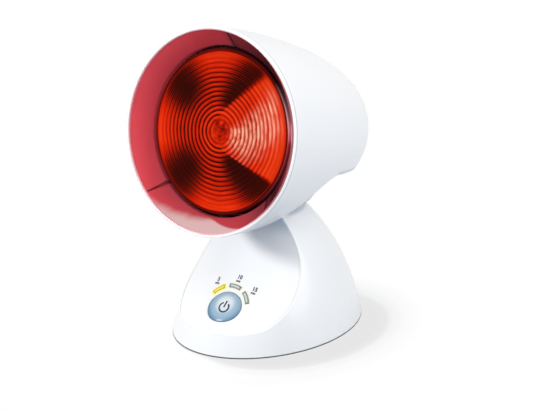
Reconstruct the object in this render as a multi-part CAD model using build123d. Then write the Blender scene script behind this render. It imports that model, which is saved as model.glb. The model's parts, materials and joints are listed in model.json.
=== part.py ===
"""Infrared heat therapy lamp: a bell-shaped head that tilts on a domed base with a timer button.

Millimetres, +Z up. The lamp faces -Y. The origin is on the table, below the middle of the lamp.
"""

from build123d import *
import math
import os

# ---------------------------------------------------------------- head: bell and rim
RIM_RADIUS = 76.6  # outside of the bell at its rim
RIM_CENTRE_Y = -76.2
RIM_CENTRE_Z = 169.8
HEAD_TILT = 11.0  # degrees that the rim looks up at rest
BELL_LENGTH = 170.3  # length that the bell's curve runs to
BELL_CURVE = 1.40
BELL_FULLNESS = 3.07
BELL_END = 158.0  # where the rear cap takes over from the curve
BELL_CROWN = 9.5  # how far the rear cap bulges
BELL_WALL = 2.5
RIM_LIP = 2.7  # thickness of the rounded rim
REAR_WALL = 2.6

# underside cut of the bell: (distance behind the rim, height over the axis)
CUT_CURVE = [(33.0, -79.0), (40.0, -58.5), (49.5, -47.3), (62.0, -34.8), (78.0, -26.6), (92.0, -25.4)]
CUT_HEIGHT = -25.4  # height of the flat part of the cut over the axis
COVER_LIFT = 2.0  # thickness of the underside cover, measured upwards
COVER_SHIFT = 1.5  # the same, measured towards the rim
COVER_GAP = 0.25  # between the cover and the inside of the bell

# ---------------------------------------------------------------- head: bulb, liner, holder
LENS_RADIUS = 60.1
LENS_DEPTH = 15.4  # edge of the lens behind the rim
LENS_CROWN = 1.2
GLASS_WALL = 3.0
BULB_RADIUS = 61.0
LENS_FLANGE = 7.0  # depth of the lens's rim
BULB_STRAIGHT = 27.0  # where the reflector starts to curve in
REFLECTOR_DEPTH = 75.0
SKIRT_START = 92.0
SKIRT_RADIUS = 21.5
SKIRT_WALL = 0.8
SKIRT_END = 112.0
CAP_RADIUS = 13.1
CAP_END = 136.0
CAP_THREAD_PITCH = 3.6
CAP_THREAD_DEPTH = 0.8
CAP_WALL = 0.9
INSULATOR_END = 141.0
CONTACT_RADIUS = 4.5
CONTACT_END = 145.5
LINER_MOUTH = 73.7  # inside of the liner at the rim
LINER_HOLE = 63.2  # inside of the liner round the bulb
LINER_WALL = 1.6
LINER_START = 1.6  # liner's front edge behind the rim
LINER_COLLAR = 5.0  # length of the liner's straight collar beside the bulb
SEAM_ANGLES = [5.0, 130.0, 224.0]  # liner seams, clockwise from the top, seen from the front
SEAM_GAP = 0.5
CLIP_WIDTH = 11.0
CLIP_THICKNESS = 0.8
CLIP_LENGTH = 4.7
CLIP_HOOK = 0.7  # air between the end of the liner's collar and the clip's hook
CLIP_HOOK_DEPTH = 2.25
SHIELD_CLEARANCE = 2.3  # air between the bulb and its heat shield
SHIELD_WALL = 0.5
SHIELD_START = 31.0
SHIELD_END = 88.0
SHIELD_TAB_WIDTH = 9.0
TUB_CLEARANCE = 3.3  # air between the bulb and the bulge of the cover
TUB_WALL = 1.5
HOLDER_RADIUS = 19.3
HOLDER_START = 113.5
HOLDER_END = 150.0
THREAD_CLEARANCE = 0.3
SLEEVE_WALL = 0.6
SPRING_WIDTH = 6.0
SPRING_THICKNESS = 0.6
TERMINAL_SPREAD = 8.0
TERMINAL_SIZE = 6.0
BRACKET_THICKNESS = 1.5
BRACKET_WIDTH = 16.0
BRACKET_HALF = 34.0
BRACKET_POST_OFFSET = 29.0
BRACKET_POST_RADIUS = 4.0
BRACKET_SCREW_RADIUS = 1.5
HOLDER_SCREW_OFFSET = 13.5
FILAMENT_DEPTH = 84.0
FILAMENT_LENGTH = 16.0
FILAMENT_RADIUS = 1.6
WIRE_RADIUS = 0.6

# ---------------------------------------------------------------- head: vent grille
GRILLE_RADIUS = 22.0
GRILLE_RISE = 5.0  # centre of the grille over the axis
GRILLE_GAP = 0.25
GRILLE_FLANGE = 2.2
GRILLE_FLANGE_THICKNESS = 1.4
GRILLE_WALL = 2.0
GRILLE_PLATE = 2.4
GRILLE_SLOT_WIDTH = 2.6
GRILLE_SLOT_PITCH = 5.6
GRILLE_SLOT_COUNT = 7
GRILLE_MARGIN = 3.4

# ---------------------------------------------------------------- tilt hinge
HINGE_Y = 12.0
HINGE_Z = 110.0
TILT_STEP = 10.0  # degrees between two detent positions
TILT_STEPS_EACH_WAY = 2
BARREL_RADIUS = 11.5
BARREL_HALF = 20.0
PIN_RADIUS = 4.0
PIN_BORE = 4.05
PIN_HEAD_RADIUS = 7.0
PIN_HEAD_HEIGHT = 3.6
BUSH_RADIUS = 6.0
BUSH_LENGTH = 12.0
BUSH_FIT = 0.02
WASHER_THICKNESS = 0.9
WASHER_RADIUS = 7.4
FACE_GAP = 0.1  # each side of a friction washer
EAR_THICKNESS = 5.0
EAR_RADIUS = 11.0
YOKE_PLATE = 2.5
YOKE_FRONT = 3.0  # reach of the yoke's plate ahead of the hinge axis
YOKE_BACK = 24.0
YOKE_SCREW_RADIUS = 1.6
YOKE_SCREW_FRONT = 2.5  # places of the screws behind the hinge axis
YOKE_SCREW_BACK = 19.5
YOKE_SCREW_X = 12.5
BOSS_RADIUS = 3.6
NUT_RADIUS = 6.8
NUT_HEIGHT = 4.0
SPRING_WASHER_THICKNESS = 1.2
BALL_RADIUS = 2.0
BALL_ORBIT = 9.0  # of the detent ball round the hinge axis
BALL_PROUD = 0.7
BALL_POCKET_DEPTH = 9.0
DIMPLE_DEPTH = 0.13
BALL_CLEARANCE = 0.15
COIL_WIRE = 0.35
COIL_PITCH = 1.1

# ---------------------------------------------------------------- base
BASE_HALF_WIDTH = 66.0
BASE_HALF_DEPTH = 87.0
BASE_CENTRE_Y = -2.0
DOME_HEIGHT = 122.0  # height that the dome's curve runs to
DOME_DRAFT = 0.298  # straight part of the dome's narrowing, per 100 mm
DOME_CURVE = 2.5
DOME_LEVELS = [0.0, 14.0, 30.0, 46.0, 62.0, 76.0, 90.0, 104.0]
DOME_CROWN_RADIUS = 72.0  # ball that rounds the dome's shoulder
DOME_CROWN_START = 80.0  # height over which the ball shapes the dome
DOME_TOP = 103.2
BASE_WALL = 3.0
TOP_WALL = 3.0
SHELL_BOTTOM = 0.8
NECK_DEPTH = 24.0
NECK_CORNER = 6.0
NECK_BORE_RADIUS = 7.5

PANEL_ARC_RADIUS = 122.5  # hollow of the front panel, seen from the side
PANEL_ARC_Y = -139.5
PANEL_ARC_Z = 120.0
PANEL_TOE_SLOPE = 38.3  # degrees of the face's slope where its tighter toe begins
PANEL_TOE_RADIUS = 32.0
PANEL_AXIS_Y = 60.0  # upright axis that the panel's face turns round
PANEL_THICKNESS = 2.4
PANEL_INSET = 1.2  # rim of the base shell that frames the panel
PANEL_GAP = 0.2
PANEL_SEAT = 0.1

PLATE_BOTTOM = 1.0
PLATE_THICKNESS = 2.5
PLATE_GAP = 0.3
FOOT_RADIUS = 7.5
FOOT_HEIGHT = 2.4
FOOT_X = 36.0
FOOT_FRONT_Y = -52.0
FOOT_REAR_Y = 46.0
POST_RADIUS = 4.5
POST_X = BASE_HALF_WIDTH - 22.0
POST_FRONT_Y = -33.0
POST_REAR_Y = 30.0
POST_TOP = 46.0
BASE_SCREW_RADIUS = 1.8
BASE_SCREW_LENGTH = 14.0

# ---------------------------------------------------------------- button and lights
BUTTON_Z = 28.45
BUTTON_HALF_WIDTH = 14.2
BUTTON_HALF_HEIGHT = 13.0
BUTTON_PROUD = 2.8
BUTTON_DOME = 2.0
BUTTON_GAP = 0.35
BUTTON_TRAVEL = 1.2
BUTTON_FLANGE = 1.4
BUTTON_FLANGE_THICKNESS = 1.2
BUTTON_STEM_RADIUS = 2.5
BUTTON_PANEL_CLEAR = 1.9  # from the back of the panel to the button's flange
LIGHT_ORBIT = 18.3
LIGHT_ANGLES = [-43.0, 3.0, 49.0]  # clockwise from the top
LIGHT_HALF_ANGLE = 15.5
LIGHT_WIDTH = 2.7
LIGHT_PROUD = 0.15
LIGHT_GAP = 0.12
LIGHT_BACK = 9.6
BOARD_DEPTH = 15.0  # component side of the control board behind the panel's face
BOARD_THICKNESS = 1.6
BOARD_WIDTH = 58.0
BOARD_HEIGHT = 46.0
BOARD_RISE = 5.0
SWITCH_SIZE = 10.0
SWITCH_HEIGHT = 4.0
PLUNGER_RADIUS = 1.9
PLUNGER_LENGTH = 3.2
PLUNGER_SEAT = 1.5
LED_SIZE = 3.0
LED_HEIGHT = 2.0
CHIP_LENGTH = 10.0
CHIP_WIDTH = 6.2
CHIP_HEIGHT = 1.8
CHIP_LEGS = 5  # each side
CHIP_LEG_PITCH = 2.0
BOARD_POST_X = 24.0
BOARD_POST_Y = 19.0

# ---------------------------------------------------------------- power board
POWER_WIDTH = 66.0
POWER_DEPTH = 62.0
POWER_CENTRE_Y = 18.0
POWER_BOTTOM = 9.0
POWER_THICKNESS = 1.6
STANDOFF_RADIUS = 3.2
STANDOFF_INSET = 5.0
BOARD_SCREW_RADIUS = 1.4
BOARD_SCREW_HEAD = 2.6
BOARD_SCREW_HEAD_HEIGHT = 1.6
RELAY = (19.0, 15.5, 15.0)
TRANSFORMER = (28.0, 23.0, 20.0)
FUSE_RADIUS = 2.6
FUSE_LENGTH = 20.0
CAPACITOR_RADIUS = 5.0
CAPACITOR_HEIGHT = 14.0
TERMINAL_BLOCK = (22.0, 10.0, 11.0)

# ---------------------------------------------------------------- cable gland and leads
GLAND_Z = 14.0
GLAND_FLANGE_RADIUS = 10.0
GLAND_FLANGE = 2.4
GLAND_SLEEVE_RADIUS = 7.0
GLAND_BORE_RADIUS = 3.7
GLAND_SEAT_Y = 78.6  # outer face of the flat pad round the gland
GLAND_PAD = 4.0
GLAND_NUT_RADIUS = 10.0
GLAND_NUT_THICKNESS = 4.0
GLAND_GAP = 0.15
LEAD_RADIUS = 1.1
LEAD_BEND = 8.0
LEAD_PAIR = 1.3  # half the distance between two leads in the neck
LEAD_BEHIND_PIN = 5.7
HEAD_LEAD_HEIGHT = -21.7  # of the leads over the head's axis, under the lamp holder

TILT = math.radians(HEAD_TILT)
# In the head's own frame x is the lamp's x, y is up from the axis and z is forwards out of the rim.
HEAD = Plane(
    origin=(0, RIM_CENTRE_Y, RIM_CENTRE_Z),
    x_dir=(1, 0, 0),
    z_dir=(0, -math.cos(TILT), math.sin(TILT)),
)
ALL = 400.0  # larger than the lamp, for cutters

parts = {}


# ================================================================ helpers
def edges_on(plane, *edges):
    return make_face([plane * edge for edge in edges])


def polygon_spun(points):
    """Solid of revolution about Z from a closed outline of (radius, height) points."""
    return revolve(edges_on(Plane.XZ, Polyline(*points, close=True)), Axis.Z)


def ring(outer, inner, low, high):
    return polygon_spun([(inner, low), (outer, low), (outer, high), (inner, high)])


def disc(radius, low, high):
    return Pos(0, 0, (low + high) / 2) * Cylinder(radius, high - low)


def block(size_x, size_y, size_z, x, y, z):
    """Box with its bottom face at z."""
    return Pos(x, y, z + size_z / 2) * Box(size_x, size_y, size_z)


def along_x(radius, low, high, y=HINGE_Y, z=HINGE_Z):
    """Cylinder along X on the hinge axis, or on another one."""
    return Pos((low + high) / 2, y, z) * Rot(0, 90, 0) * Cylinder(radius, high - low)


def group(solids):
    """Several separate solids of one kind in one node."""
    return Compound([solid for item in solids for solid in item.solids()])


def screw(radius, length, head_radius, head_height):
    """Screw with its shank down from z = 0 and its head above, with a cross recess."""
    shank = disc(radius, -length, 0)
    head = disc(head_radius, 0, head_height)
    recess = Box(head_radius, head_radius / 4, head_height) + Box(head_radius / 4, head_radius, head_height)
    return shank + head - Pos(0, 0, head_height) * recess


# ================================================================ head surfaces
def bell_radius(depth):
    """Outside radius of the bell at a distance behind the rim."""
    return RIM_RADIUS * (1 - (depth / BELL_LENGTH) ** BELL_CURVE) ** (1 / BELL_FULLNESS)


def bell_inside(depth, wall):
    """Inside radius there, for a wall measured square to the surface."""
    step = 0.5
    slope = (bell_radius(depth + step) - bell_radius(max(depth - step, 0))) / (step + min(depth, step))
    return bell_radius(depth) - wall * math.sqrt(1 + slope * slope)


def bell_depths(last):
    return [last * share for share in (0.0, 0.12, 0.25, 0.4, 0.55, 0.7, 0.82, 0.92, 1.0)]


def bell_solid():
    """Outside of the bell, filled, with its rounded rim and its rear cap."""
    curve = Spline(*[(bell_radius(d), -d) for d in bell_depths(BELL_END)])
    end_radius = bell_radius(BELL_END)
    cap_radius = (end_radius**2 + BELL_CROWN**2) / (2 * BELL_CROWN)
    middle = end_radius / 2
    middle_depth = BELL_END + BELL_CROWN - cap_radius + math.sqrt(cap_radius**2 - middle**2)
    cap = ThreePointArc((end_radius, -BELL_END), (middle, -middle_depth), (0, -BELL_END - BELL_CROWN))
    front = Line((0, 0), (RIM_RADIUS, 0))
    axis = Line((0, -BELL_END - BELL_CROWN), (0, 0))
    return revolve(edges_on(Plane.XZ, front, curve, cap, axis), Axis.Z)


def bell_hollow(wall):
    """Space inside the bell for a wall of this thickness, open at the rim."""
    last = BELL_END - REAR_WALL
    curve = Spline(*[(bell_inside(d, wall), -d) for d in bell_depths(last)])
    front = Line((0, 0), (bell_inside(0, wall), 0))
    back = Line((bell_inside(last, wall), -last), (0, -last))
    return revolve(edges_on(Plane.XZ, front, curve, back, Line((0, -last), (0, 0))), Axis.Z)


def below_cut(lift=0.0, shift=0.0):
    """Everything below the bell's underside cut, which may be moved up and forwards."""
    points = [(-d + shift, h + lift) for d, h in CUT_CURVE]
    curve = Spline(*points)
    far = -ALL / 2
    level = CUT_HEIGHT + lift
    tail = Line(points[-1], (far, level))
    down = Line((far, level), (far, -ALL / 2))
    floor = Line((far, -ALL / 2), (points[0][0], -ALL / 2))
    rise = Line((points[0][0], -ALL / 2), points[0])
    # (forwards, up) of the outline go to z and y of the head's frame
    side = Plane(origin=(0, 0, 0), x_dir=(0, 0, 1), z_dir=(-1, 0, 0))
    return extrude(edges_on(side, curve, tail, down, floor, rise), ALL / 2, both=True)


def bulb_outline(extra=0.0):
    """(radius, z) points down the outside of the bulb, each moved outwards by extra."""
    steps = 9
    reach = SKIRT_START - BULB_STRAIGHT
    points = [(BULB_RADIUS + extra, -LENS_DEPTH)]
    for i in range(steps + 1):
        deep = reach * i / steps
        points.append((BULB_RADIUS * math.sqrt(1 - deep / REFLECTOR_DEPTH) + extra, -BULB_STRAIGHT - deep))
    return points


def bulb_body(extra):
    """Filled shape of the bulb's glass, grown by extra."""
    outline = bulb_outline(extra)
    start, curve_start, curve_end = outline[0], outline[1], outline[-1]
    side = Line(start, curve_start)
    curve = Spline(*outline[1:])
    back = Line(curve_end, (0, curve_end[1]))
    axis = Line((0, curve_end[1]), (0, start[1]))
    return revolve(edges_on(Plane.XZ, side, curve, back, axis, Line((0, start[1]), start)), Axis.Z)


# ================================================================ head parts
def rear_posts():
    """Posts inside the rear wall that the holder's bracket is screwed to."""
    top = -HOLDER_END - BRACKET_THICKNESS
    posts = Part()
    for side in (-1, 1):
        posts += Pos(side * BRACKET_POST_OFFSET, 0, 0) * disc(BRACKET_POST_RADIUS, -BELL_END, top)
        posts -= Pos(side * BRACKET_POST_OFFSET, 0, 0) * disc(BRACKET_SCREW_RADIUS, -BELL_END, top)
    return posts


def make_head_shell():
    shell = bell_solid() - bell_hollow(BELL_WALL)
    lip = ring(bell_inside(1.5, 0.4), bell_inside(0, RIM_LIP), -LINER_START, 0)
    shell = fillet((shell + lip).edges().group_by(Axis.Z)[-1], 1.0)
    shell += rear_posts() & bell_solid()
    shell -= below_cut()
    opening = disc(GRILLE_RADIUS + GRILLE_GAP, -ALL / 2, -BELL_END + 10)
    shell -= Pos(0, GRILLE_RISE, 0) * opening
    parts["head_shell"] = shell


def make_under_cover():
    """Wall that closes the cut, with a bulge that clears the bulb and a slot for the leads."""
    room = disc(ALL / 4, -BELL_END + REAR_WALL + COVER_GAP, -LENS_DEPTH)
    inside = bell_hollow(BELL_WALL + COVER_GAP) & room
    band = (below_cut(COVER_LIFT, COVER_SHIFT) - below_cut()) & inside
    bulge = bulb_body(TUB_CLEARANCE + TUB_WALL) & below_cut(COVER_LIFT / 2, COVER_SHIFT / 2) & inside
    cover = band + bulge - bulb_body(TUB_CLEARANCE)
    for x, depth in yoke_screw_places():
        boss = Pos(x, CUT_HEIGHT, -depth) * Rot(-90, 0, 0) * disc(BOSS_RADIUS, 0.0, 5.0)
        cover += boss
        cover -= Pos(x, CUT_HEIGHT, -depth) * Rot(-90, 0, 0) * disc(YOKE_SCREW_RADIUS, -1.0, 6.0)
    slot = Pos(0, CUT_HEIGHT, -hinge_in_head()[0]) * Box(8.0, 12.0, 5.0)
    parts["under_cover"] = cover - slot


def hinge_in_head():
    """Hinge axis in the head's frame: distance behind the rim, and height over the axis."""
    dy = HINGE_Y - RIM_CENTRE_Y
    dz = HINGE_Z - RIM_CENTRE_Z
    depth = dy * math.cos(TILT) - dz * math.sin(TILT)
    height = dy * math.sin(TILT) + dz * math.cos(TILT)
    return depth, height


def yoke_screw_places():
    depth = hinge_in_head()[0]
    places = (depth + YOKE_SCREW_FRONT, depth + YOKE_SCREW_BACK)
    return [(x, d) for x in (-YOKE_SCREW_X, YOKE_SCREW_X) for d in places]


def make_yoke():
    """Plate under the cover with two ears that hold the hinge pin."""
    depth, height = hinge_in_head()
    inner = BARREL_HALF + WASHER_THICKNESS + 2 * FACE_GAP
    outer = inner + EAR_THICKNESS
    top = CUT_HEIGHT - 0.05
    length = YOKE_FRONT + YOKE_BACK
    middle = (YOKE_FRONT - YOKE_BACK) / 2
    yoke = Pos(0, top - YOKE_PLATE / 2, -depth + middle) * Box(2 * outer, YOKE_PLATE, length)
    rise = top - height
    ear = Circle(EAR_RADIUS) + Pos(rise / 2, 0) * Rectangle(rise, 2 * EAR_RADIUS)
    for side in (-1, 1):
        start = side * (inner + outer) / 2 - EAR_THICKNESS / 2
        ear_plane = Plane(origin=(start, height, -depth), x_dir=(0, 1, 0), z_dir=(1, 0, 0))
        yoke += extrude(ear_plane * ear, EAR_THICKNESS)
    yoke -= Pos(0, height, -depth) * Rot(0, 90, 0) * Cylinder(PIN_BORE, 4 * outer)
    for x, d in yoke_screw_places():
        yoke -= Pos(x, top, -d) * Rot(-90, 0, 0) * disc(YOKE_SCREW_RADIUS + 0.2, -8, 8)
    yoke -= Pos(0, CUT_HEIGHT, -depth) * Box(8.0, 12.0, 5.0)
    yoke = HEAD * (yoke - bulb_body(TUB_CLEARANCE + TUB_WALL + 0.3))
    ball = Rot(0, 90, 0) * Sphere(BALL_RADIUS)
    dimple = Pos(inner - BALL_RADIUS + DIMPLE_DEPTH, -BALL_ORBIT, 0) * ball
    for step in range(-TILT_STEPS_EACH_WAY, TILT_STEPS_EACH_WAY + 1):
        yoke -= Pos(0, HINGE_Y, HINGE_Z) * (Rot(step * TILT_STEP, 0, 0) * dimple)
    parts["hinge_yoke"] = yoke


def make_head_screws():
    yoke_screws = []
    for x, d in yoke_screw_places():
        place = Pos(x, CUT_HEIGHT - 0.05 - YOKE_PLATE, -d) * Rot(90, 0, 0)
        yoke_screws.append(HEAD * (place * screw(YOKE_SCREW_RADIUS - 0.02, YOKE_PLATE + 4.0, 2.4, 1.2)))
    parts["yoke_screws"] = group(yoke_screws)
    bracket_screws = []
    for side in (-1, 1):
        place = Pos(side * BRACKET_POST_OFFSET, 0, -HOLDER_END + 0.02)
        bracket_screws.append(HEAD * (place * screw(BRACKET_SCREW_RADIUS - 0.02, 5.0, 2.8, 1.8)))
    parts["bracket_screws"] = group(bracket_screws)


def make_liner():
    """Glossy funnel between the rim and the bulb, in three segments."""
    collar_end = -LENS_DEPTH - LINER_COLLAR
    mouth = (LINER_MOUTH, -LINER_START - 0.05)
    bend = (LINER_HOLE, -LENS_DEPTH)
    end = (LINER_HOLE, collar_end)
    outer_end = (LINER_HOLE + LINER_WALL, collar_end)
    outer_bend = (LINER_HOLE + LINER_WALL, -LENS_DEPTH - LINER_WALL / 2)
    outer_mouth = (bell_inside(LINER_START + LINER_WALL, BELL_WALL) - 0.1, -LINER_START - LINER_WALL)
    rim_edge = (bell_inside(LINER_START, BELL_WALL) - 0.1, -LINER_START - 0.05)
    funnel = polygon_spun([mouth, bend, end, outer_end, outer_bend, outer_mouth, rim_edge])
    for angle in SEAM_ANGLES:
        saw = Pos(0, ALL / 4, 0) * Box(SEAM_GAP, ALL / 2, ALL)
        funnel -= Rot(0, 0, -angle) * saw
    parts["inner_liner"] = HEAD * group([funnel])


def make_liner_clips():
    """Spring clips that bridge the seams of the liner behind its collar."""
    clips = []
    radius = LINER_HOLE + LINER_WALL + 0.05
    collar_end = -LENS_DEPTH - LINER_COLLAR
    low = collar_end - CLIP_HOOK - CLIP_THICKNESS
    band = ring(radius + CLIP_THICKNESS, radius, low, low + CLIP_LENGTH)
    foot = ring(radius + CLIP_THICKNESS, radius - CLIP_HOOK_DEPTH, low, low + CLIP_THICKNESS)
    for angle in SEAM_ANGLES:
        window = Rot(0, 0, -angle) * (Pos(0, radius, 0) * Box(CLIP_WIDTH, ALL / 20, ALL))
        clips.append(HEAD * ((band + foot) & window))
    parts["liner_clips"] = group(clips)


def make_bulb():
    sphere_radius = (LENS_RADIUS**2 + LENS_CROWN**2) / (2 * LENS_CROWN)
    front_z = -LENS_DEPTH + LENS_CROWN
    outer = ThreePointArc(
        (0, front_z),
        (LENS_RADIUS / 2, front_z - sphere_radius + math.sqrt(sphere_radius**2 - (LENS_RADIUS / 2) ** 2)),
        (LENS_RADIUS, -LENS_DEPTH),
    )
    inner_radius = BULB_RADIUS - GLASS_WALL
    inner_top = -LENS_DEPTH - 1.5
    inner = ThreePointArc(
        (0, front_z - GLASS_WALL),
        (inner_radius / 2, front_z - GLASS_WALL - LENS_CROWN / 6),
        (inner_radius, inner_top - GLASS_WALL / 3),
    )
    flange_z = -LENS_DEPTH - LENS_FLANGE
    rim = Polyline((LENS_RADIUS, -LENS_DEPTH), (BULB_RADIUS, -LENS_DEPTH - 1.0), (BULB_RADIUS, flange_z))
    back = Polyline((BULB_RADIUS, flange_z), (inner_radius, flange_z), inner @ 1)
    lens = revolve(edges_on(Plane.XZ, outer, rim, back, inner, Line(inner @ 0, (0, front_z))), Axis.Z)
    parts["lens_glass"] = HEAD * lens
    seat = disc(BULB_RADIUS + 1, -SKIRT_START, flange_z)
    cavity = bulb_body(-GLASS_WALL) & disc(BULB_RADIUS, -SKIRT_START + GLASS_WALL, 0)
    parts["reflector_glass"] = HEAD * ((bulb_body(0.0) & seat) - cavity)
    neck_radius = bulb_outline()[-1][0]
    skirt_start = -SKIRT_START
    outline = [
        (neck_radius, skirt_start),
        (SKIRT_RADIUS, skirt_start - 1.5),
        (SKIRT_RADIUS - 1.5, skirt_start - 9),
        (CAP_RADIUS, -SKIRT_END),
        (CAP_RADIUS - SKIRT_WALL, -SKIRT_END),
        (SKIRT_RADIUS - 1.5 - SKIRT_WALL, skirt_start - 9 + SKIRT_WALL / 2),
        (neck_radius - SKIRT_WALL, skirt_start),
    ]
    parts["bulb_skirt"] = HEAD * polygon_spun(outline)
    make_screw_cap()
    make_filament()


def make_screw_cap():
    """Screw cap as a stack of rounded thread turns, then its insulator and contact."""
    turns = int((CAP_END - SKIRT_END - 2.0) / CAP_THREAD_PITCH)
    outline = [(CAP_RADIUS - CAP_WALL, -SKIRT_END), (CAP_RADIUS, -SKIRT_END)]
    for turn in range(turns):
        start = -SKIRT_END - 1.0 - turn * CAP_THREAD_PITCH
        outline.append((CAP_RADIUS - CAP_THREAD_DEPTH / 2, start))
        outline.append((CAP_RADIUS, start - CAP_THREAD_PITCH / 2))
    outline.append((CAP_RADIUS - CAP_THREAD_DEPTH / 2, -SKIRT_END - 1.0 - turns * CAP_THREAD_PITCH))
    outline.append((CAP_RADIUS - 1.5, -CAP_END))
    outline.append((CAP_RADIUS - CAP_WALL - CAP_THREAD_DEPTH - 1.0, -CAP_END))
    outline.append((CAP_RADIUS - CAP_WALL - CAP_THREAD_DEPTH, -CAP_END + 2.0))
    parts["screw_cap"] = HEAD * polygon_spun(outline)
    insulator = [
        (0, -CAP_END),
        (CAP_RADIUS - 1.6, -CAP_END),
        (CONTACT_RADIUS + 1.0, -INSULATOR_END),
        (0, -INSULATOR_END),
    ]
    parts["cap_insulator"] = HEAD * polygon_spun(insulator)
    contact = disc(CONTACT_RADIUS, -CONTACT_END, -INSULATOR_END)
    parts["cap_contact"] = HEAD * fillet(contact.edges().group_by(Axis.Z)[0], 1.5)


def make_filament():
    """Coiled filament across the bulb with its two support wires."""
    coil = Pos(0, 0, -FILAMENT_DEPTH) * Rot(0, 90, 0) * Cylinder(FILAMENT_RADIUS, FILAMENT_LENGTH)
    wires = Part()
    bottom = -SKIRT_START + GLASS_WALL + 0.02
    for side in (-1, 1):
        wires += Pos(side * (FILAMENT_LENGTH / 2 - 1), 0, 0) * disc(WIRE_RADIUS, bottom, -FILAMENT_DEPTH)
    parts["filament"] = HEAD * (coil + wires)


def make_lamp_holder():
    body = disc(HOLDER_RADIUS, -HOLDER_END, -HOLDER_START)
    body = chamfer(body.edges().group_by(Axis.Z)[-1], 1.5)
    thread_radius = CAP_RADIUS + THREAD_CLEARANCE + SLEEVE_WALL + 0.05
    well_end = -CONTACT_END - 2.0
    body -= disc(thread_radius, -CAP_END - 1.0, 0)
    body -= disc(CAP_RADIUS - 1.2, well_end, 0)
    for side in (-1, 1):
        body -= Pos(side * HOLDER_SCREW_OFFSET, 0, 0) * disc(1.2, -HOLDER_END, -HOLDER_END + 8)
        pocket = Box(TERMINAL_SIZE + 0.2, TERMINAL_SIZE + 0.2, 7.0)
        body -= Pos(side * TERMINAL_SPREAD, -HOLDER_RADIUS + TERMINAL_SIZE / 2, -HOLDER_END + 3.5) * pocket
    parts["lamp_holder"] = HEAD * body
    sleeve_outer = CAP_RADIUS + THREAD_CLEARANCE + SLEEVE_WALL
    sleeve = ring(sleeve_outer, CAP_RADIUS + THREAD_CLEARANCE, -CAP_END - 0.9, -HOLDER_START - 1.0)
    parts["threaded_sleeve"] = HEAD * sleeve
    strip = Box(CAP_RADIUS, SPRING_WIDTH, SPRING_THICKNESS)
    spring = Pos(0, 0, -CONTACT_END - SPRING_THICKNESS / 2 - 0.05) * strip
    leg = Box(SPRING_THICKNESS, SPRING_WIDTH, 2.0)
    spring += Pos(CAP_RADIUS / 2 - SPRING_THICKNESS / 2, 0, well_end + 1.0) * leg
    parts["centre_spring"] = HEAD * spring
    terminals = []
    for side in (-1, 1):
        brass = Box(TERMINAL_SIZE, TERMINAL_SIZE, 6.6)
        place = Pos(side * TERMINAL_SPREAD, -HOLDER_RADIUS + TERMINAL_SIZE / 2 + 0.05, -HOLDER_END + 3.6)
        bore = Pos(0, 0, 0) * Cylinder(LEAD_RADIUS + 0.1, 8.0)
        terminals.append(HEAD * (place * (brass - bore)))
    parts["holder_terminals"] = group(terminals)


def make_holder_bracket():
    plate = Box(2 * BRACKET_HALF, BRACKET_WIDTH, BRACKET_THICKNESS)
    plate = Pos(0, 0, -HOLDER_END - BRACKET_THICKNESS / 2) * fillet(plate.edges().filter_by(Axis.Z), 3.0)
    for side in (-1, 1):
        plate -= Pos(side * BRACKET_POST_OFFSET, 0, 0) * disc(BRACKET_SCREW_RADIUS + 0.1, -ALL / 2, 0)
        plate -= Pos(side * HOLDER_SCREW_OFFSET, 0, 0) * disc(1.3, -ALL / 2, 0)
    plate -= Pos(0, 0, -HOLDER_END) * Box(12.0, BRACKET_WIDTH / 2, 10.0)
    parts["holder_bracket"] = HEAD * plate
    screws = []
    for side in (-1, 1):
        place = Pos(side * HOLDER_SCREW_OFFSET, 0, -HOLDER_END - BRACKET_THICKNESS) * Rot(180, 0, 0)
        screws.append(HEAD * (place * screw(1.15, 8.0, 2.3, 1.2)))
    parts["holder_screws"] = group(screws)


def make_heat_shield():
    """Thin bright cone between the bulb and the bell, held to the bell by three tabs."""
    outer = bulb_body(SHIELD_CLEARANCE + SHIELD_WALL)
    inner = bulb_body(SHIELD_CLEARANCE)
    zone = disc(ALL / 4, -SHIELD_END, -SHIELD_START)
    cone = (outer - inner) & zone
    tab_ring = bell_hollow(BELL_WALL + 0.05) & disc(ALL / 4, -SHIELD_START - 0.8, -SHIELD_START)
    tab_ring -= inner
    for angle in (0.0, 115.0, 245.0):
        window = Rot(0, 0, -angle) * (Pos(0, ALL / 8, 0) * Box(SHIELD_TAB_WIDTH, ALL / 4, ALL))
        cone += tab_ring & window
    parts["heat_shield"] = HEAD * cone


def make_rear_grille():
    centre = Pos(0, GRILLE_RISE, 0)
    plug = (centre * disc(GRILLE_RADIUS, -ALL / 2, -BELL_END + REAR_WALL)) & bell_solid()
    seat = -BELL_END + REAR_WALL
    inner_radius = GRILLE_RADIUS - GRILLE_WALL
    hollow = (centre * disc(inner_radius, -ALL / 2, seat)) & (Pos(0, 0, GRILLE_PLATE) * bell_solid())
    flange = ring(GRILLE_RADIUS + GRILLE_FLANGE, inner_radius, seat + 0.05, seat + GRILLE_FLANGE_THICKNESS)
    grille = plug - hollow + centre * flange
    grille += centre * ring(GRILLE_RADIUS, inner_radius, seat - 0.5, seat + 0.5)
    for index in range(GRILLE_SLOT_COUNT):
        height = (index - (GRILLE_SLOT_COUNT - 1) / 2) * GRILLE_SLOT_PITCH
        half = math.sqrt(max((GRILLE_RADIUS - GRILLE_MARGIN) ** 2 - height**2, 1.0))
        slot = extrude(SlotOverall(2 * half, GRILLE_SLOT_WIDTH), ALL / 2)
        grille -= Pos(0, GRILLE_RISE + height, -BELL_END - BELL_CROWN - 5) * (slot & disc(ALL, 0, 30))
    parts["rear_grille"] = HEAD * grille


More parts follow.
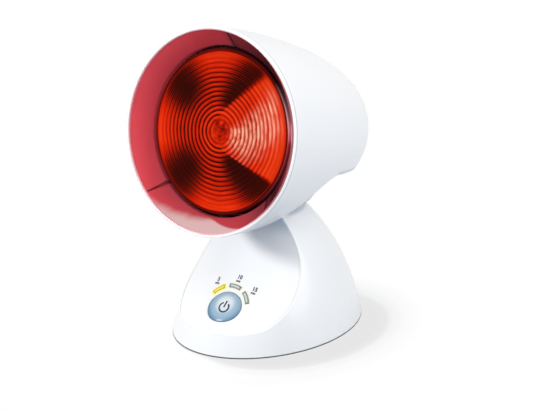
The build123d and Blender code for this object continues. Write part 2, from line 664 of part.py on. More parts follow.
# ================================================================ tilt hinge parts
def make_hinge():
    inner = BARREL_HALF + WASHER_THICKNESS + 2 * FACE_GAP
    outer = inner + EAR_THICKNESS
    shank_end = -outer - SPRING_WASHER_THICKNESS - NUT_HEIGHT - 1.0
    pin = along_x(PIN_RADIUS, shank_end, outer + 0.05)
    pin += along_x(PIN_HEAD_RADIUS, outer + 0.05, outer + PIN_HEAD_HEIGHT)
    pin -= Pos(outer + PIN_HEAD_HEIGHT, HINGE_Y, HINGE_Z) * Box(2.4, 1.6, 2 * PIN_HEAD_RADIUS)
    parts["hinge_pin"] = pin
    washer_start = -outer - SPRING_WASHER_THICKNESS
    spring = along_x(NUT_RADIUS, washer_start, -outer - 0.05)
    parts["spring_washer"] = spring - along_x(PIN_RADIUS + 0.1, washer_start - 1, -outer + 1)
    hexagon = extrude(RegularPolygon(NUT_RADIUS, 6), NUT_HEIGHT)
    nut = Pos(washer_start - 0.05 - NUT_HEIGHT, HINGE_Y, HINGE_Z) * (Rot(0, 90, 0) * hexagon)
    nut -= along_x(PIN_RADIUS + 0.02, washer_start - NUT_HEIGHT - 2, washer_start)
    parts["hinge_nut"] = nut
    bushes = []
    washers = []
    for side in (-1, 1):
        end = side * BARREL_HALF
        start = side * (BARREL_HALF - BUSH_LENGTH)
        low, high = min(start, end), max(start, end)
        bushes.append(along_x(BUSH_RADIUS, low, high) - along_x(PIN_BORE, low - 1, high + 1))
        near = side * (BARREL_HALF + FACE_GAP)
        far = side * (BARREL_HALF + FACE_GAP + WASHER_THICKNESS)
        low, high = min(near, far), max(near, far)
        washers.append(along_x(WASHER_RADIUS - 0.6, low, high) - along_x(PIN_BORE + 0.1, low - 1, high + 1))
    parts["hinge_bushes"] = group(bushes)
    parts["friction_washers"] = group(washers)
    ball_x = BARREL_HALF + BALL_PROUD - BALL_RADIUS
    ball = Pos(ball_x, HINGE_Y - BALL_ORBIT, HINGE_Z) * Sphere(BALL_RADIUS)
    parts["detent_ball"] = ball
    make_detent_spring(ball_x)


def make_detent_spring(ball_x):
    """Closely wound coil behind the ball, its turns joined by two thin bars."""
    start = BARREL_HALF - BALL_POCKET_DEPTH + 0.1
    coil_radius = BALL_RADIUS - COIL_WIRE - 0.1
    stop = ball_x - math.sqrt(BALL_RADIUS**2 - coil_radius**2) - COIL_WIRE - 0.05
    turns = int((stop - start - 2 * COIL_WIRE) / COIL_PITCH) + 1
    spring = Part()
    for turn in range(turns):
        torus = Rot(0, 90, 0) * Torus(coil_radius, COIL_WIRE)
        spring += Pos(start + COIL_WIRE + turn * COIL_PITCH, 0, 0) * torus
    length = (turns - 1) * COIL_PITCH
    bar = Pos(start + COIL_WIRE + length / 2, 0, 0) * Box(length, COIL_WIRE, COIL_WIRE)
    for side in (-1, 1):
        spring += Pos(0, 0, side * coil_radius) * bar
    parts["detent_spring"] = Pos(0, HINGE_Y - BALL_ORBIT, HINGE_Z) * spring


# ================================================================ base surfaces
def dome_share(height):
    """Width of the base at a height, as a share of its width at the table."""
    straight = DOME_DRAFT * height / 100
    return 1 - straight - (1 - DOME_DRAFT * DOME_HEIGHT / 100) * (height / DOME_HEIGHT) ** DOME_CURVE


def dome(inset, bottom, top):
    """Filled dome between two heights, its wall moved in by inset."""
    levels = [bottom] + [z for z in DOME_LEVELS if bottom + 2 < z < top - 2] + [top]
    sections = []
    for z in levels:
        share = dome_share(z)
        section = Ellipse(BASE_HALF_WIDTH * share - inset, BASE_HALF_DEPTH * share - inset)
        sections.append(Pos(0, BASE_CENTRE_Y, z) * section)
    return loft(sections)


def arc_point(centre, radius, slope):
    """Point (y, z) of an arc of the panel's face where it slopes by this many degrees."""
    turn = math.radians(slope)
    return centre[0] + radius * math.sin(turn), centre[1] - radius * math.cos(turn)


def before_panel(back=0.0):
    """Everything in front of the panel's face, or of a face this far behind it."""
    centre = (PANEL_ARC_Y, PANEL_ARC_Z)
    toe_centre = arc_point(centre, PANEL_ARC_RADIUS - PANEL_TOE_RADIUS, PANEL_TOE_SLOPE)
    radius = PANEL_ARC_RADIUS + back
    toe_radius = PANEL_TOE_RADIUS + back
    top, middle, join = [arc_point(centre, radius, slope) for slope in (90.0, 64.0, PANEL_TOE_SLOPE)]
    toe_middle, toe_end = [arc_point(toe_centre, toe_radius, slope) for slope in (PANEL_TOE_SLOPE / 2, 0.0)]
    edge = PANEL_ARC_Y - PANEL_ARC_RADIUS
    outline = Polyline(toe_end, (edge, toe_end[1]), (edge, ALL / 2), (top[0], ALL / 2), top)
    face = (ThreePointArc(top, middle, join), ThreePointArc(join, toe_middle, toe_end))
    return revolve(edges_on(Plane.YZ, *face, outline), Axis((0, PANEL_AXIS_Y, 0), (0, 0, 1)))


def button_frame():
    """Plane on the panel's face at the button, with y up the slope and z outwards."""
    y = PANEL_ARC_Y + math.sqrt(PANEL_ARC_RADIUS**2 - (PANEL_ARC_Z - BUTTON_Z) ** 2)
    normal = (0, -(y - PANEL_ARC_Y), PANEL_ARC_Z - BUTTON_Z)
    return Plane(origin=(0, y, BUTTON_Z), x_dir=(1, 0, 0), z_dir=normal)


BUTTON = button_frame()


def under_crown(top):
    """Everything below a ball-shaped shoulder that ends at this height."""
    ball = Pos(0, HINGE_Y / 3, top - DOME_CROWN_RADIUS) * Sphere(DOME_CROWN_RADIUS)
    return block(ALL, ALL, DOME_CROWN_START, 0, 0, 0) + ball


def panel_room(inset, gap):
    """Part of the dome that the panel may fill, clear of the frame round it by a gap."""
    top = DOME_TOP - TOP_WALL - gap
    return dome(inset + gap, 4.0 + gap, top) & under_crown(top)


# ================================================================ base parts
def post_places():
    return [(x, y) for x in (-POST_X, POST_X) for y in (POST_FRONT_Y, POST_REAR_Y)]


def neck_solid():
    """Neck and barrel that rise out of the dome."""
    post = extrude(RectangleRounded(2 * BARREL_HALF, NECK_DEPTH, NECK_CORNER), HINGE_Z - DOME_TOP + 12)
    neck = Pos(0, HINGE_Y, DOME_TOP - 12) * post
    neck &= Pos(0, HINGE_Y, HINGE_Z - 30) * Box(ALL, 2 * BARREL_RADIUS, 60)
    return neck + along_x(BARREL_RADIUS, -BARREL_HALF, BARREL_HALF)


def make_base_shell():
    roof = DOME_TOP - TOP_WALL
    outer = (dome(0, SHELL_BOTTOM, DOME_TOP) & under_crown(DOME_TOP)) - before_panel()
    hollow = dome(BASE_WALL, 0, roof) & under_crown(roof)
    seat = panel_room(PANEL_INSET, 0.0) & before_panel(PANEL_THICKNESS + PANEL_SEAT)
    shell = outer - hollow - seat
    pad = block(26, GLAND_PAD, 24, 0, GLAND_SEAT_Y - GLAND_PAD / 2, PLATE_BOTTOM + PLATE_THICKNESS + 0.3)
    shell += pad & dome(0.5, SHELL_BOTTOM, 60)
    shell -= along_x(EAR_RADIUS + 0.3, -ALL / 4, ALL / 4) - block(2 * BARREL_HALF + 1, ALL, ALL, 0, 0, 0)
    shell += neck_solid() - hollow
    for x, y in post_places():
        post = block(2 * POST_RADIUS, 2 * POST_RADIUS, POST_TOP, x, y, PLATE_BOTTOM + PLATE_THICKNESS + 0.2)
        post &= dome(1.0, SHELL_BOTTOM, 80)
        post -= before_panel(PANEL_THICKNESS + PANEL_SEAT)
        shell += post
        shell -= Pos(x, y, 0) * disc(BASE_SCREW_RADIUS - 0.1, 0, BASE_SCREW_LENGTH + 3)
    shell -= along_x(BUSH_RADIUS + BUSH_FIT, -BARREL_HALF - 1, BARREL_HALF + 1)
    shell -= Pos(0, HINGE_Y, 0) * disc(NECK_BORE_RADIUS, roof - 15, HINGE_Z + BARREL_RADIUS + 1)
    pocket_end = BARREL_HALF - BALL_POCKET_DEPTH
    pocket_y = HINGE_Y - BALL_ORBIT
    shell -= along_x(BALL_RADIUS + BALL_CLEARANCE, pocket_end, BARREL_HALF + 1, pocket_y, HINGE_Z)
    recess = Plane(origin=(0, GLAND_SEAT_Y, GLAND_Z), x_dir=(1, 0, 0), z_dir=(0, 1, 0))
    shell -= recess * disc(GLAND_FLANGE_RADIUS + GLAND_GAP, 0, 20)
    parts["base_shell"] = shell - recess * disc(GLAND_SLEEVE_RADIUS + GLAND_GAP, -15, 15)


def light_bar(angle, grow, low, high):
    """Arc-shaped bar round the button, in the button's frame."""
    half = math.radians(LIGHT_HALF_ANGLE) + grow / LIGHT_ORBIT
    inner = LIGHT_ORBIT - LIGHT_WIDTH / 2 - grow
    outer = LIGHT_ORBIT + LIGHT_WIDTH / 2 + grow
    wedge = make_face(
        Polyline(
            (0, 0),
            (-2 * outer * math.sin(half), 2 * outer * math.cos(half)),
            (2 * outer * math.sin(half), 2 * outer * math.cos(half)),
            close=True,
        )
    )
    bar = extrude(wedge, high - low) & (disc(outer, 0, high - low) - disc(inner, 0, high - low))
    return Rot(0, 0, -angle) * (Pos(0, 0, low) * bar)


def button_disc(grow, low, high):
    oval = Ellipse(BUTTON_HALF_WIDTH + grow, BUTTON_HALF_HEIGHT + grow)
    return Pos(0, 0, low) * extrude(oval, high - low)


def make_front_panel():
    panel = (panel_room(PANEL_INSET, PANEL_GAP) & before_panel(PANEL_THICKNESS)) - before_panel()
    cut = BUTTON * button_disc(BUTTON_GAP, -8, 8)
    for angle in LIGHT_ANGLES:
        cut += BUTTON * light_bar(angle, LIGHT_GAP, -8, 8)
    parts["front_panel"] = panel - cut


def make_light_guides():
    """Clear arc bars that end just proud of the panel's face."""
    skin = before_panel(-LIGHT_PROUD)
    guides = [BUTTON * light_bar(angle, 0, -LIGHT_BACK, 6) - skin for angle in LIGHT_ANGLES]
    parts["light_guides"] = group(guides)


def make_button():
    flange_top = -PANEL_THICKNESS - BUTTON_PANEL_CLEAR
    crown_radius = (BUTTON_HALF_WIDTH**2 + BUTTON_DOME**2) / (2 * BUTTON_DOME)
    crown = Pos(0, 0, BUTTON_PROUD - crown_radius) * Sphere(crown_radius)
    body = button_disc(0, flange_top, BUTTON_PROUD) & crown
    flange = button_disc(BUTTON_FLANGE, flange_top - BUTTON_FLANGE_THICKNESS, flange_top)
    hollow = button_disc(-1.6, flange_top - BUTTON_FLANGE_THICKNESS, -1.6)
    stem_end = -BOARD_DEPTH + SWITCH_HEIGHT + PLUNGER_LENGTH - PLUNGER_SEAT
    stem = disc(BUTTON_STEM_RADIUS, stem_end, -1.0)
    rib = Box(1.2, 2 * BUTTON_HALF_HEIGHT - 3.0, 3.0) + Box(2 * BUTTON_HALF_WIDTH - 3.0, 1.2, 3.0)
    ribs = Pos(0, 0, -3.0) * rib
    parts["power_button"] = BUTTON * (body + flange - hollow + stem + ribs)
    plunger = disc(PLUNGER_RADIUS, stem_end - PLUNGER_LENGTH + PLUNGER_SEAT, stem_end - 0.02)
    parts["switch_plunger"] = BUTTON * plunger


def make_control_board():
    face = -BOARD_DEPTH
    board = Pos(0, BOARD_RISE, face - BOARD_THICKNESS / 2) * Box(BOARD_WIDTH, BOARD_HEIGHT, BOARD_THICKNESS)
    board = fillet(board.edges().filter_by(Axis.Z), 2.0)
    screws = []
    for x in (-BOARD_POST_X, BOARD_POST_X):
        place = Pos(x, BOARD_RISE + BOARD_POST_Y, 0)
        board -= place * disc(BOARD_SCREW_RADIUS + 0.1, face - 5, face + 5)
    parts["control_board"] = BUTTON * board
    body = Pos(0, 0, face + SWITCH_HEIGHT / 2 + 0.02) * Box(SWITCH_SIZE, SWITCH_SIZE, SWITCH_HEIGHT)
    body -= disc(PLUNGER_RADIUS + 0.1, face + SWITCH_HEIGHT - 1.8 - BUTTON_TRAVEL, face + 10)
    parts["tact_switch"] = BUTTON * body
    leds = []
    for angle in LIGHT_ANGLES:
        led = Pos(0, LIGHT_ORBIT, face + LED_HEIGHT / 2 + 0.02) * Box(LED_SIZE, LED_SIZE, LED_HEIGHT)
        leds.append(BUTTON * (Rot(0, 0, -angle) * led))
    parts["leds"] = group(leds)
    parts["timer_chip"] = BUTTON * (Pos(0, BOARD_RISE - 4, face - BOARD_THICKNESS) * chip_body())


def chip_body():
    """Chip with two rows of legs, hanging below z = 0."""
    chip = Pos(0, 0, -CHIP_HEIGHT / 2 - 0.02) * Box(CHIP_LENGTH, CHIP_WIDTH, CHIP_HEIGHT)
    for index in range(CHIP_LEGS):
        for side in (-1, 1):
            x = (index - (CHIP_LEGS - 1) / 2) * CHIP_LEG_PITCH
            chip += Pos(x, side * (CHIP_WIDTH / 2 + 0.7), -0.3) * Box(0.5, 2.0, 0.5)
    return chip


def power_corners():
    half_x = POWER_WIDTH / 2 - STANDOFF_INSET
    half_y = POWER_DEPTH / 2 - STANDOFF_INSET
    return [(x, POWER_CENTRE_Y + y) for x in (-half_x, half_x) for y in (-half_y, half_y)]


def foot_places():
    return [(x, y) for x in (-FOOT_X, FOOT_X) for y in (FOOT_FRONT_Y, FOOT_REAR_Y)]


def make_base_plate():
    top = PLATE_BOTTOM + PLATE_THICKNESS
    plate = dome(BASE_WALL + PLATE_GAP, PLATE_BOTTOM, top)
    for x, y in power_corners():
        plate += Pos(x, y, 0) * disc(STANDOFF_RADIUS, top - 0.5, POWER_BOTTOM)
        plate -= Pos(x, y, 0) * disc(BOARD_SCREW_RADIUS, top, POWER_BOTTOM)
    for x, y in post_places():
        plate -= Pos(x, y, 0) * disc(BASE_SCREW_RADIUS + 0.2, -1, 10)
        plate -= Pos(x, y, 0) * disc(BASE_SCREW_RADIUS * 2 + 0.3, -1, PLATE_BOTTOM + 1.2)
    for x, y in foot_places():
        plate -= Pos(x, y, 0) * disc(FOOT_RADIUS + 0.1, -1, FOOT_HEIGHT)
    board_posts(plate)


def board_posts(plate):
    """Two props of the base plate that carry the lower edge of the control board."""
    low_edge = BOARD_RISE - BOARD_HEIGHT / 2
    for side in (-1, 1):
        corner = BUTTON * Pos(side * BOARD_POST_X, low_edge + 3.0, -BOARD_DEPTH - BOARD_THICKNESS)
        point = corner.position
        height = point.Z - PLATE_BOTTOM - PLATE_THICKNESS + 4.5
        prop = block(5.0, 6.0, height, point.X, point.Y + 2.5, PLATE_BOTTOM + 1.0)
        behind = BUTTON * block(ALL, ALL, ALL, 0, 0, -BOARD_DEPTH - BOARD_THICKNESS - 0.02 - ALL)
        plate += prop & behind
    parts["base_plate"] = plate


def make_feet_and_screws():
    feet = [Pos(x, y, 0) * disc(FOOT_RADIUS, 0, FOOT_HEIGHT) for x, y in foot_places()]
    parts["rubber_feet"] = group(feet)
    screws = []
    for x, y in post_places():
        fastener = screw(BASE_SCREW_RADIUS - 0.12, BASE_SCREW_LENGTH, 2 * BASE_SCREW_RADIUS, 1.0)
        screws.append(Pos(x, y, PLATE_BOTTOM + 1.18) * (Rot(180, 0, 0) * fastener))
    parts["base_screws"] = group(screws)
    screws = []
    for x, y in power_corners():
        fastener = screw(BOARD_SCREW_RADIUS - 0.02, 5.0, BOARD_SCREW_HEAD, BOARD_SCREW_HEAD_HEIGHT)
        screws.append(Pos(x, y, POWER_BOTTOM + POWER_THICKNESS + 0.02) * fastener)
    parts["board_screws"] = group(screws)


def make_power_board():
    top = POWER_BOTTOM + 0.02 + POWER_THICKNESS
    board = block(POWER_WIDTH, POWER_DEPTH, POWER_THICKNESS - 0.02, 0, POWER_CENTRE_Y, POWER_BOTTOM + 0.02)
    board = fillet(board.edges().filter_by(Axis.Z), 2.0)
    for x, y in power_corners():
        board -= Pos(x, y, 0) * disc(BOARD_SCREW_RADIUS + 0.2, 0, 30)
    parts["power_board"] = board
    relay = block(*RELAY, -14, POWER_CENTRE_Y - 16, top)
    parts["relay"] = fillet(relay.edges().group_by(Axis.Z)[-1], 0.8)
    width, depth, height = TRANSFORMER
    core = block(width, depth * 0.62, height, 12, POWER_CENTRE_Y - 8, top)
    winding = block(width * 0.62, depth, height * 0.7, 12, POWER_CENTRE_Y - 8, top + height * 0.15)
    parts["transformer"] = core + winding
    capacitors = []
    for x, y in ((-22.0, POWER_CENTRE_Y + 3), (-9.0, POWER_CENTRE_Y + 3)):
        can = Pos(x, y, 0) * disc(CAPACITOR_RADIUS, top, top + CAPACITOR_HEIGHT)
        capacitors.append(fillet(can.edges().group_by(Axis.Z)[-1], 0.8))
    parts["capacitors"] = group(capacitors)
    fuse = Rot(0, 90, 0) * Cylinder(FUSE_RADIUS, FUSE_LENGTH)
    for side in (-1, 1):
        fuse += Pos(side * (FUSE_LENGTH / 2 - 2), 0, 0) * Box(4.0, 2 * FUSE_RADIUS + 1.2, 2 * FUSE_RADIUS)
    parts["fuse"] = Pos(-14, POWER_CENTRE_Y + 15, top + FUSE_RADIUS) * fuse
    make_terminal_block(top)


def make_terminal_block(top):
    width, depth, height = TERMINAL_BLOCK
    terminal = block(width, depth, height, 10, POWER_CENTRE_Y + 20, top)
    for index in (-1, 0, 1):
        spot = Pos(10 + index * 6.5, POWER_CENTRE_Y + 20, 0)
        terminal -= spot * disc(2.0, top + height - 4, top + height + 1)
        hole = Rot(90, 0, 0) * Cylinder(1.6, 30)
        terminal -= Pos(10 + index * 6.5, POWER_CENTRE_Y + 20 + 15, top + 3.5) * hole
    parts["terminal_block"] = terminal


def make_gland():
    """Moulded gland with a bore for the mains lead, held in the wall by its nut."""
    back = GLAND_SEAT_Y - GLAND_PAD - GLAND_NUT_THICKNESS - 1.0
    front = GLAND_SEAT_Y + GLAND_FLANGE
    to_world = Plane(origin=(0, 0, GLAND_Z), x_dir=(1, 0, 0), z_dir=(0, 1, 0))
    sleeve = disc(GLAND_SLEEVE_RADIUS, back, GLAND_SEAT_Y + 1)
    flange = disc(GLAND_FLANGE_RADIUS, GLAND_SEAT_Y + 0.05, front)
    flange = fillet(flange.edges().group_by(Axis.Z)[-1], 1.0)
    gland = sleeve + flange - disc(GLAND_BORE_RADIUS, back - 1, front + 1)
    parts["cable_gland"] = to_world * gland
    nut_front = GLAND_SEAT_Y - GLAND_PAD - 0.1
    nut = extrude(RegularPolygon(GLAND_NUT_RADIUS, 6), GLAND_NUT_THICKNESS)
    nut = Pos(0, 0, nut_front - GLAND_NUT_THICKNESS) * nut
    nut -= disc(GLAND_SLEEVE_RADIUS + 0.02, 0, 200)
    parts["gland_nut"] = to_world * nut


def lead(points, bends):
    """Insulated wire along straight runs joined by arcs."""
    path = FilletPolyline(*points, radius=bends)
    section = Plane(origin=path @ 0, z_dir=path % 0) * Circle(LEAD_RADIUS)
    return sweep(section, path=path)


def make_leads():
    """Leads from the terminal block up the neck, and from the cover's slot to the lamp holder."""
    neck_y = HINGE_Y + LEAD_BEHIND_PIN
    block_y = POWER_CENTRE_Y + 20
    block_top = POWER_BOTTOM + 0.02 + POWER_THICKNESS + TERMINAL_BLOCK[2]
    base_leads = []
    for side in (-1, 1):
        start_x = 10 + side * 6.5
        points = [
            (start_x, block_y, block_top - 3.9),
            (start_x, block_y, block_top + 22),
            (side * LEAD_PAIR, neck_y, block_top + 52),
            (side * LEAD_PAIR, neck_y, HINGE_Z + BARREL_RADIUS - 3),
        ]
        base_leads.append(lead(points, LEAD_BEND))
    parts["base_leads"] = group(base_leads)
    depth = hinge_in_head()[0]
    head_leads = []
    for side in (-1, 1):
        end_x = side * TERMINAL_SPREAD
        points = [
            (side * LEAD_PAIR, CUT_HEIGHT - 1.0, -depth),
            (side * LEAD_PAIR, HEAD_LEAD_HEIGHT, -depth),
            (side * LEAD_PAIR, HEAD_LEAD_HEIGHT, -depth - 25),
            (end_x, HEAD_LEAD_HEIGHT, -depth - 38),
            (end_x, HEAD_LEAD_HEIGHT, -HOLDER_END + 3.5),
            (end_x, -HOLDER_RADIUS + 0.02, -HOLDER_END + 3.5),
        ]
        head_leads.append(HEAD * lead(points, [1.6, 8.0, 8.0, 1.6]))
    parts["head_leads"] = group(head_leads)


def make_all():
    make_head_shell()
    parts["head_shell"] = HEAD * parts["head_shell"]
    make_under_cover()
    parts["under_cover"] = HEAD * parts["under_cover"]
    make_yoke()
    make_head_screws()
    make_liner()
    make_liner_clips()
    make_bulb()
    make_lamp_holder()
    make_holder_bracket()
    make_heat_shield()
    make_rear_grille()
    make_hinge()
    make_base_shell()
    make_front_panel()
    make_light_guides()
    make_button()
    make_control_board()
    make_base_plate()
    make_feet_and_screws()
    make_power_board()
    make_gland()
    make_leads()


make_all()
os.makedirs("parts", exist_ok=True)
for name, part in parts.items():
    export_step(part, f"parts/{name}.step")
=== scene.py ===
import json
import math

import bmesh
import bpy
from mathutils import Matrix, Vector


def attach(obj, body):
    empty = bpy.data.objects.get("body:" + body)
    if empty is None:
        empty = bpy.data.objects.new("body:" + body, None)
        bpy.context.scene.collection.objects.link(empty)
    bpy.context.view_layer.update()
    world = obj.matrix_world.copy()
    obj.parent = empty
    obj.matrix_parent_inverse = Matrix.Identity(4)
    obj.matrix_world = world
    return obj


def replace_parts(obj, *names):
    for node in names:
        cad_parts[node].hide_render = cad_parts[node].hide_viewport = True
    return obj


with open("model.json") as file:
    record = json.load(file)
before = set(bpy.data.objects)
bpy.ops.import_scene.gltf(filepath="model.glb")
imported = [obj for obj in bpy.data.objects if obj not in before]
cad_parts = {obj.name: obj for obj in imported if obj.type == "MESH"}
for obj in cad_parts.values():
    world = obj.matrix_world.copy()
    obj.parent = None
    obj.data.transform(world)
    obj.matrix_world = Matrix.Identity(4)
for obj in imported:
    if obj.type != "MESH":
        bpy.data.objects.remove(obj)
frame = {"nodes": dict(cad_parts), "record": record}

MM = 0.001

# -------- places, in metres
HEAD_CENTRE = Vector((0, -0.0762, 0.1698))  # middle of the bell's rim
HEAD_TURN = math.radians(79)  # about X, from upright to looking out of the rim
HEAD_PLACE = Matrix.Translation(HEAD_CENTRE) @ Matrix.Rotation(HEAD_TURN, 4, "X")
BUTTON_CENTRE = Vector((0, -0.058107, 0.02845))
BUTTON_TURN = math.radians(41.64)
BUTTON_PLACE = Matrix.Translation(BUTTON_CENTRE) @ Matrix.Rotation(BUTTON_TURN, 4, "X")

# -------- sizes; angles are anticlockwise from the right
LENS_EDGE = 60.0  # radius in millimetres, as the lens's material counts it
LENS_TOP = -14.2 * MM  # middle of the lens, behind the rim's plane
LENS_DOME = 1505 * MM  # radius of the lens's slight curve
RIDGE_PITCH = 3.45 * MM
RIDGE_FIRST = 8.85 * MM  # radius of the innermost groove
RIDGE_COUNT = 14
RIDGE_DEPTH = 0.42 * MM
SEAM_ANGLES = [85.0, -40.0, -134.0]  # of the liner's seams
LINER_START = 1.65 * MM  # depth of the liner's outer edge behind the rim's plane
LINER_DEPTH = 13.75 * MM  # from there to its inner edge
LINER_FALL = 10.5 * MM  # how much its radius shrinks over that depth
LIP_INSIDE = 75.2 * MM  # radius within which the liner's red is painted on the bell's lip as a reflection
BUTTON_HALF_WIDTH = 14.2  # in millimetres, as the button's profile is
BUTTON_HALF_HEIGHT = 13.0
LIGHT_ORBIT = 18.3 * MM  # the timer's three lights lie round the button
LIGHT_ANGLES = [133.0, 87.0, 41.0]
LIGHT_HALF = 15.5  # half of a light's length, in degrees
LIGHT_WIDTH = 2.64 * MM
PRINT_LIFT = 0.03 * MM  # of a printed mark over the surface under it

WHITE = (1.0, 1.0, 1.0, 1.0)
BLACK = (0.0, 0.0, 0.0, 1.0)
nodes = frame["nodes"]
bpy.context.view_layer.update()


def ink(red, green, blue):
    """Linear colour of an sRGB one from 0 to 255."""
    shares = [channel / 255 for channel in (red, green, blue)]
    return tuple(s / 12.92 if s <= 0.04045 else ((s + 0.055) / 1.055) ** 2.4 for s in shares) + (1.0,)


def turn_share(degrees):
    """Share of a turn from the left of an angle anticlockwise from the right."""
    return (degrees + 180) / 360


# ======== camera, light and floor
def set_camera():
    camera_data = bpy.data.cameras.new("camera")
    camera_data.lens = 118.65
    camera_data.sensor_width = 36.0
    camera = bpy.data.objects.new("camera", camera_data)
    bpy.context.scene.collection.objects.link(camera)
    camera.location = (0.7653, -1.0409, 0.5197)
    target = Vector((0, -0.0020, 0.0949))
    camera.rotation_euler = (target - camera.location).to_track_quat("-Z", "Y").to_euler()
    bpy.context.scene.camera = camera


def area_light(name, place, aim, size, power, colour):
    light = bpy.data.lights.new(name, "AREA")
    light.shape = "DISK"
    light.size = size
    light.energy = power
    light.color = colour
    lamp = bpy.data.objects.new(name, light)
    bpy.context.scene.collection.objects.link(lamp)
    lamp.location = place
    lamp.rotation_euler = (Vector(aim) - Vector(place)).to_track_quat("-Z", "Y").to_euler()


def seen_directly(tree):
    """1 for a camera, glossy or transmission ray, and 0 for light on its way to a surface."""
    path = add_node(tree, "LightPath")
    either = calc(tree, "MAXIMUM", path.outputs["Is Camera Ray"], path.outputs["Is Glossy Ray"])
    return calc(tree, "MAXIMUM", either, path.outputs["Is Transmission Ray"])


def light_studio():
    """A white surround that lights less than it shows, a small key light and three soft fills."""
    world = bpy.data.worlds.new("studio")
    world.use_nodes = True
    tree = world.node_tree
    tree.nodes.clear()
    soft = light_source(tree, "Background", (0.94, 0.975, 1.0, 1.0), 0.35)
    white = light_source(tree, "Background", WHITE, 1.0)
    output = add_node(tree, "OutputWorld")
    feed(tree, mix_shaders(tree, seen_directly(tree), soft, white), output.inputs["Surface"])
    bpy.context.scene.world = world
    middle = (0, 0, 0.12)
    area_light("key", (-0.93, -1.53, 0.815), (0, -0.02, 0.12), 0.3, 22.5, (1.0, 0.985, 0.95))
    area_light("side_fill", (1.62, 0.35, 0.8), middle, 1.3, 14.5, (1.0, 0.995, 0.985))
    area_light("high_fill", (1.35, -0.75, 1.5), middle, 1.5, 12, (1.0, 0.995, 0.985))
    area_light("top", (-0.5, -0.4, 1.9), middle, 1.2, 8, (1.0, 1.0, 1.0))
    bpy.context.scene.view_settings.view_transform = "Standard"


def lay_floor():
    """Pale paper that fades to white away from the foot, with a painted contact shadow beside the foot."""
    nothing_selected()
    bpy.ops.mesh.primitive_plane_add(size=9, location=(0, 0, 0))
    floor = bpy.context.object
    floor.name = "floor"
    made, tree, output = blank_material("floor_paper")
    bounce = matt(tree, ink(146, 158, 174))
    paper = add_node(tree, "AddShader")
    parts = (matt(tree, ink(162, 162, 163)), light_source(tree, "Emission", WHITE, 0.7))
    feed_all(tree, parts, paper.inputs)
    place = object_place(tree)
    away = vector_calc(tree, "LENGTH", vector_calc(tree, "MULTIPLY", place, (1.3, 1.0, 0.0)))
    plain = light_source(tree, "Emission", WHITE, 1.0)
    faded = mix_shaders(tree, step_up(tree, away, 0.09, 0.14), paper.outputs[0], plain)
    # Painted contact shadow: a grey glow mixed in round the foot, its middle set off to the right.
    beside = vector_calc(tree, "SUBTRACT", place, (0.024, -0.003, 0.0))
    beside = vector_calc(tree, "MULTIPLY", beside, (1 / 0.066, 1 / 0.087, 0.0))
    past = minus(tree, vector_calc(tree, "LENGTH", beside), 0.9)
    shade = ramp(tree, past, [(0.0, 1.0), (0.08, 0.9), (0.18, 0.4), (0.34, 0.14), (0.55, 0.0)], "EASE")
    painted_contact_shadow = mix_shaders(tree, shade, faded, light_source(tree, "Emission", WHITE, 0.795))
    feed(tree, mix_shaders(tree, seen_directly(tree), bounce, painted_contact_shadow), output.inputs["Surface"])
    floor.data.materials.append(made)


# ======== node helpers
def add_node(tree, kind, **settings):
    made = tree.nodes.new("ShaderNode" + kind)
    for setting, value in settings.items():
        setattr(made, setting, value)
    return made


def feed(tree, value, socket):
    """Links a socket to another one, or sets it to a value."""
    if isinstance(value, bpy.types.NodeSocket):
        tree.links.new(value, socket)
    else:
        socket.default_value = value


def feed_all(tree, values, sockets):
    for value, socket in zip(values, sockets):
        feed(tree, value, socket)


def calc(tree, operation, *values, clamp=False):
    made = add_node(tree, "Math", operation=operation, use_clamp=clamp)
    feed_all(tree, values, made.inputs)
    return made.outputs[0]


def times(tree, first, *others, clamp=False):
    for other in others:
        first = calc(tree, "MULTIPLY", first, other, clamp=clamp)
    return first


def plus(tree, first, *others):
    for other in others:
        first = calc(tree, "ADD", first, other)
    return first


def minus(tree, first, second):
    return calc(tree, "SUBTRACT", first, second)


def size_of(tree, value):
    return calc(tree, "ABSOLUTE", value)


def wave(tree, phase):
    """0 where the phase is whole and 1 half way between."""
    return plus(tree, times(tree, calc(tree, "COSINE", times(tree, phase, 2 * math.pi)), -0.5), 0.5)


def swing(tree, value, amount):
    """A value from 0 to 1, turned into one on both sides of 0."""
    return times(tree, minus(tree, value, 0.5), amount)


def vector_calc(tree, operation, *values):
    made = add_node(tree, "VectorMath", operation=operation)
    feed_all(tree, values, made.inputs)
    return made.outputs["Value"] if operation == "LENGTH" else made.outputs["Vector"]


def axes_of(tree, vector):
    """X, Y and Z of a vector."""
    split = add_node(tree, "SeparateXYZ")
    feed(tree, vector, split.inputs[0])
    return tuple(split.outputs)


def flat_vector(tree, x, y):
    joined = add_node(tree, "CombineXYZ")
    feed_all(tree, (x, y), joined.inputs)
    return joined.outputs[0]


def blend(tree, share, first, second):
    """Colour between two, by a share from 0 to 1."""
    made = add_node(tree, "Mix", data_type="RGBA", blend_type="MIX")
    feed(tree, share, made.inputs[0])
    feed(tree, first, made.inputs[6])
    feed(tree, second, made.inputs[7])
    return made.outputs[2]


def scaled_value(tree, factor, colour):
    """Colour made brighter or darker by a factor."""
    made = add_node(tree, "HueSaturation")
    feed(tree, factor, made.inputs["Value"])
    feed(tree, colour, made.inputs["Color"])
    return made.outputs[0]


def ramp(tree, value, stops, ease="LINEAR"):
    """Colour from (position, colour) stops, where a colour may be one grey number."""
    made = add_node(tree, "ValToRGB")
    made.color_ramp.interpolation = ease
    band = made.color_ramp.elements
    while len(band) < len(stops):
        band.new(0.5)
    for element, (position, colour) in zip(band, stops):
        element.position = position
        element.color = colour if isinstance(colour, tuple) else (colour, colour, colour, 1.0)
    feed(tree, value, made.inputs[0])
    return made.outputs[0]


def round_ramp(tree, turn, stops):
    """Colour round the axis from (angle, colour) stops."""
    return ramp(tree, turn, [(turn_share(angle), colour) for angle, colour in stops])


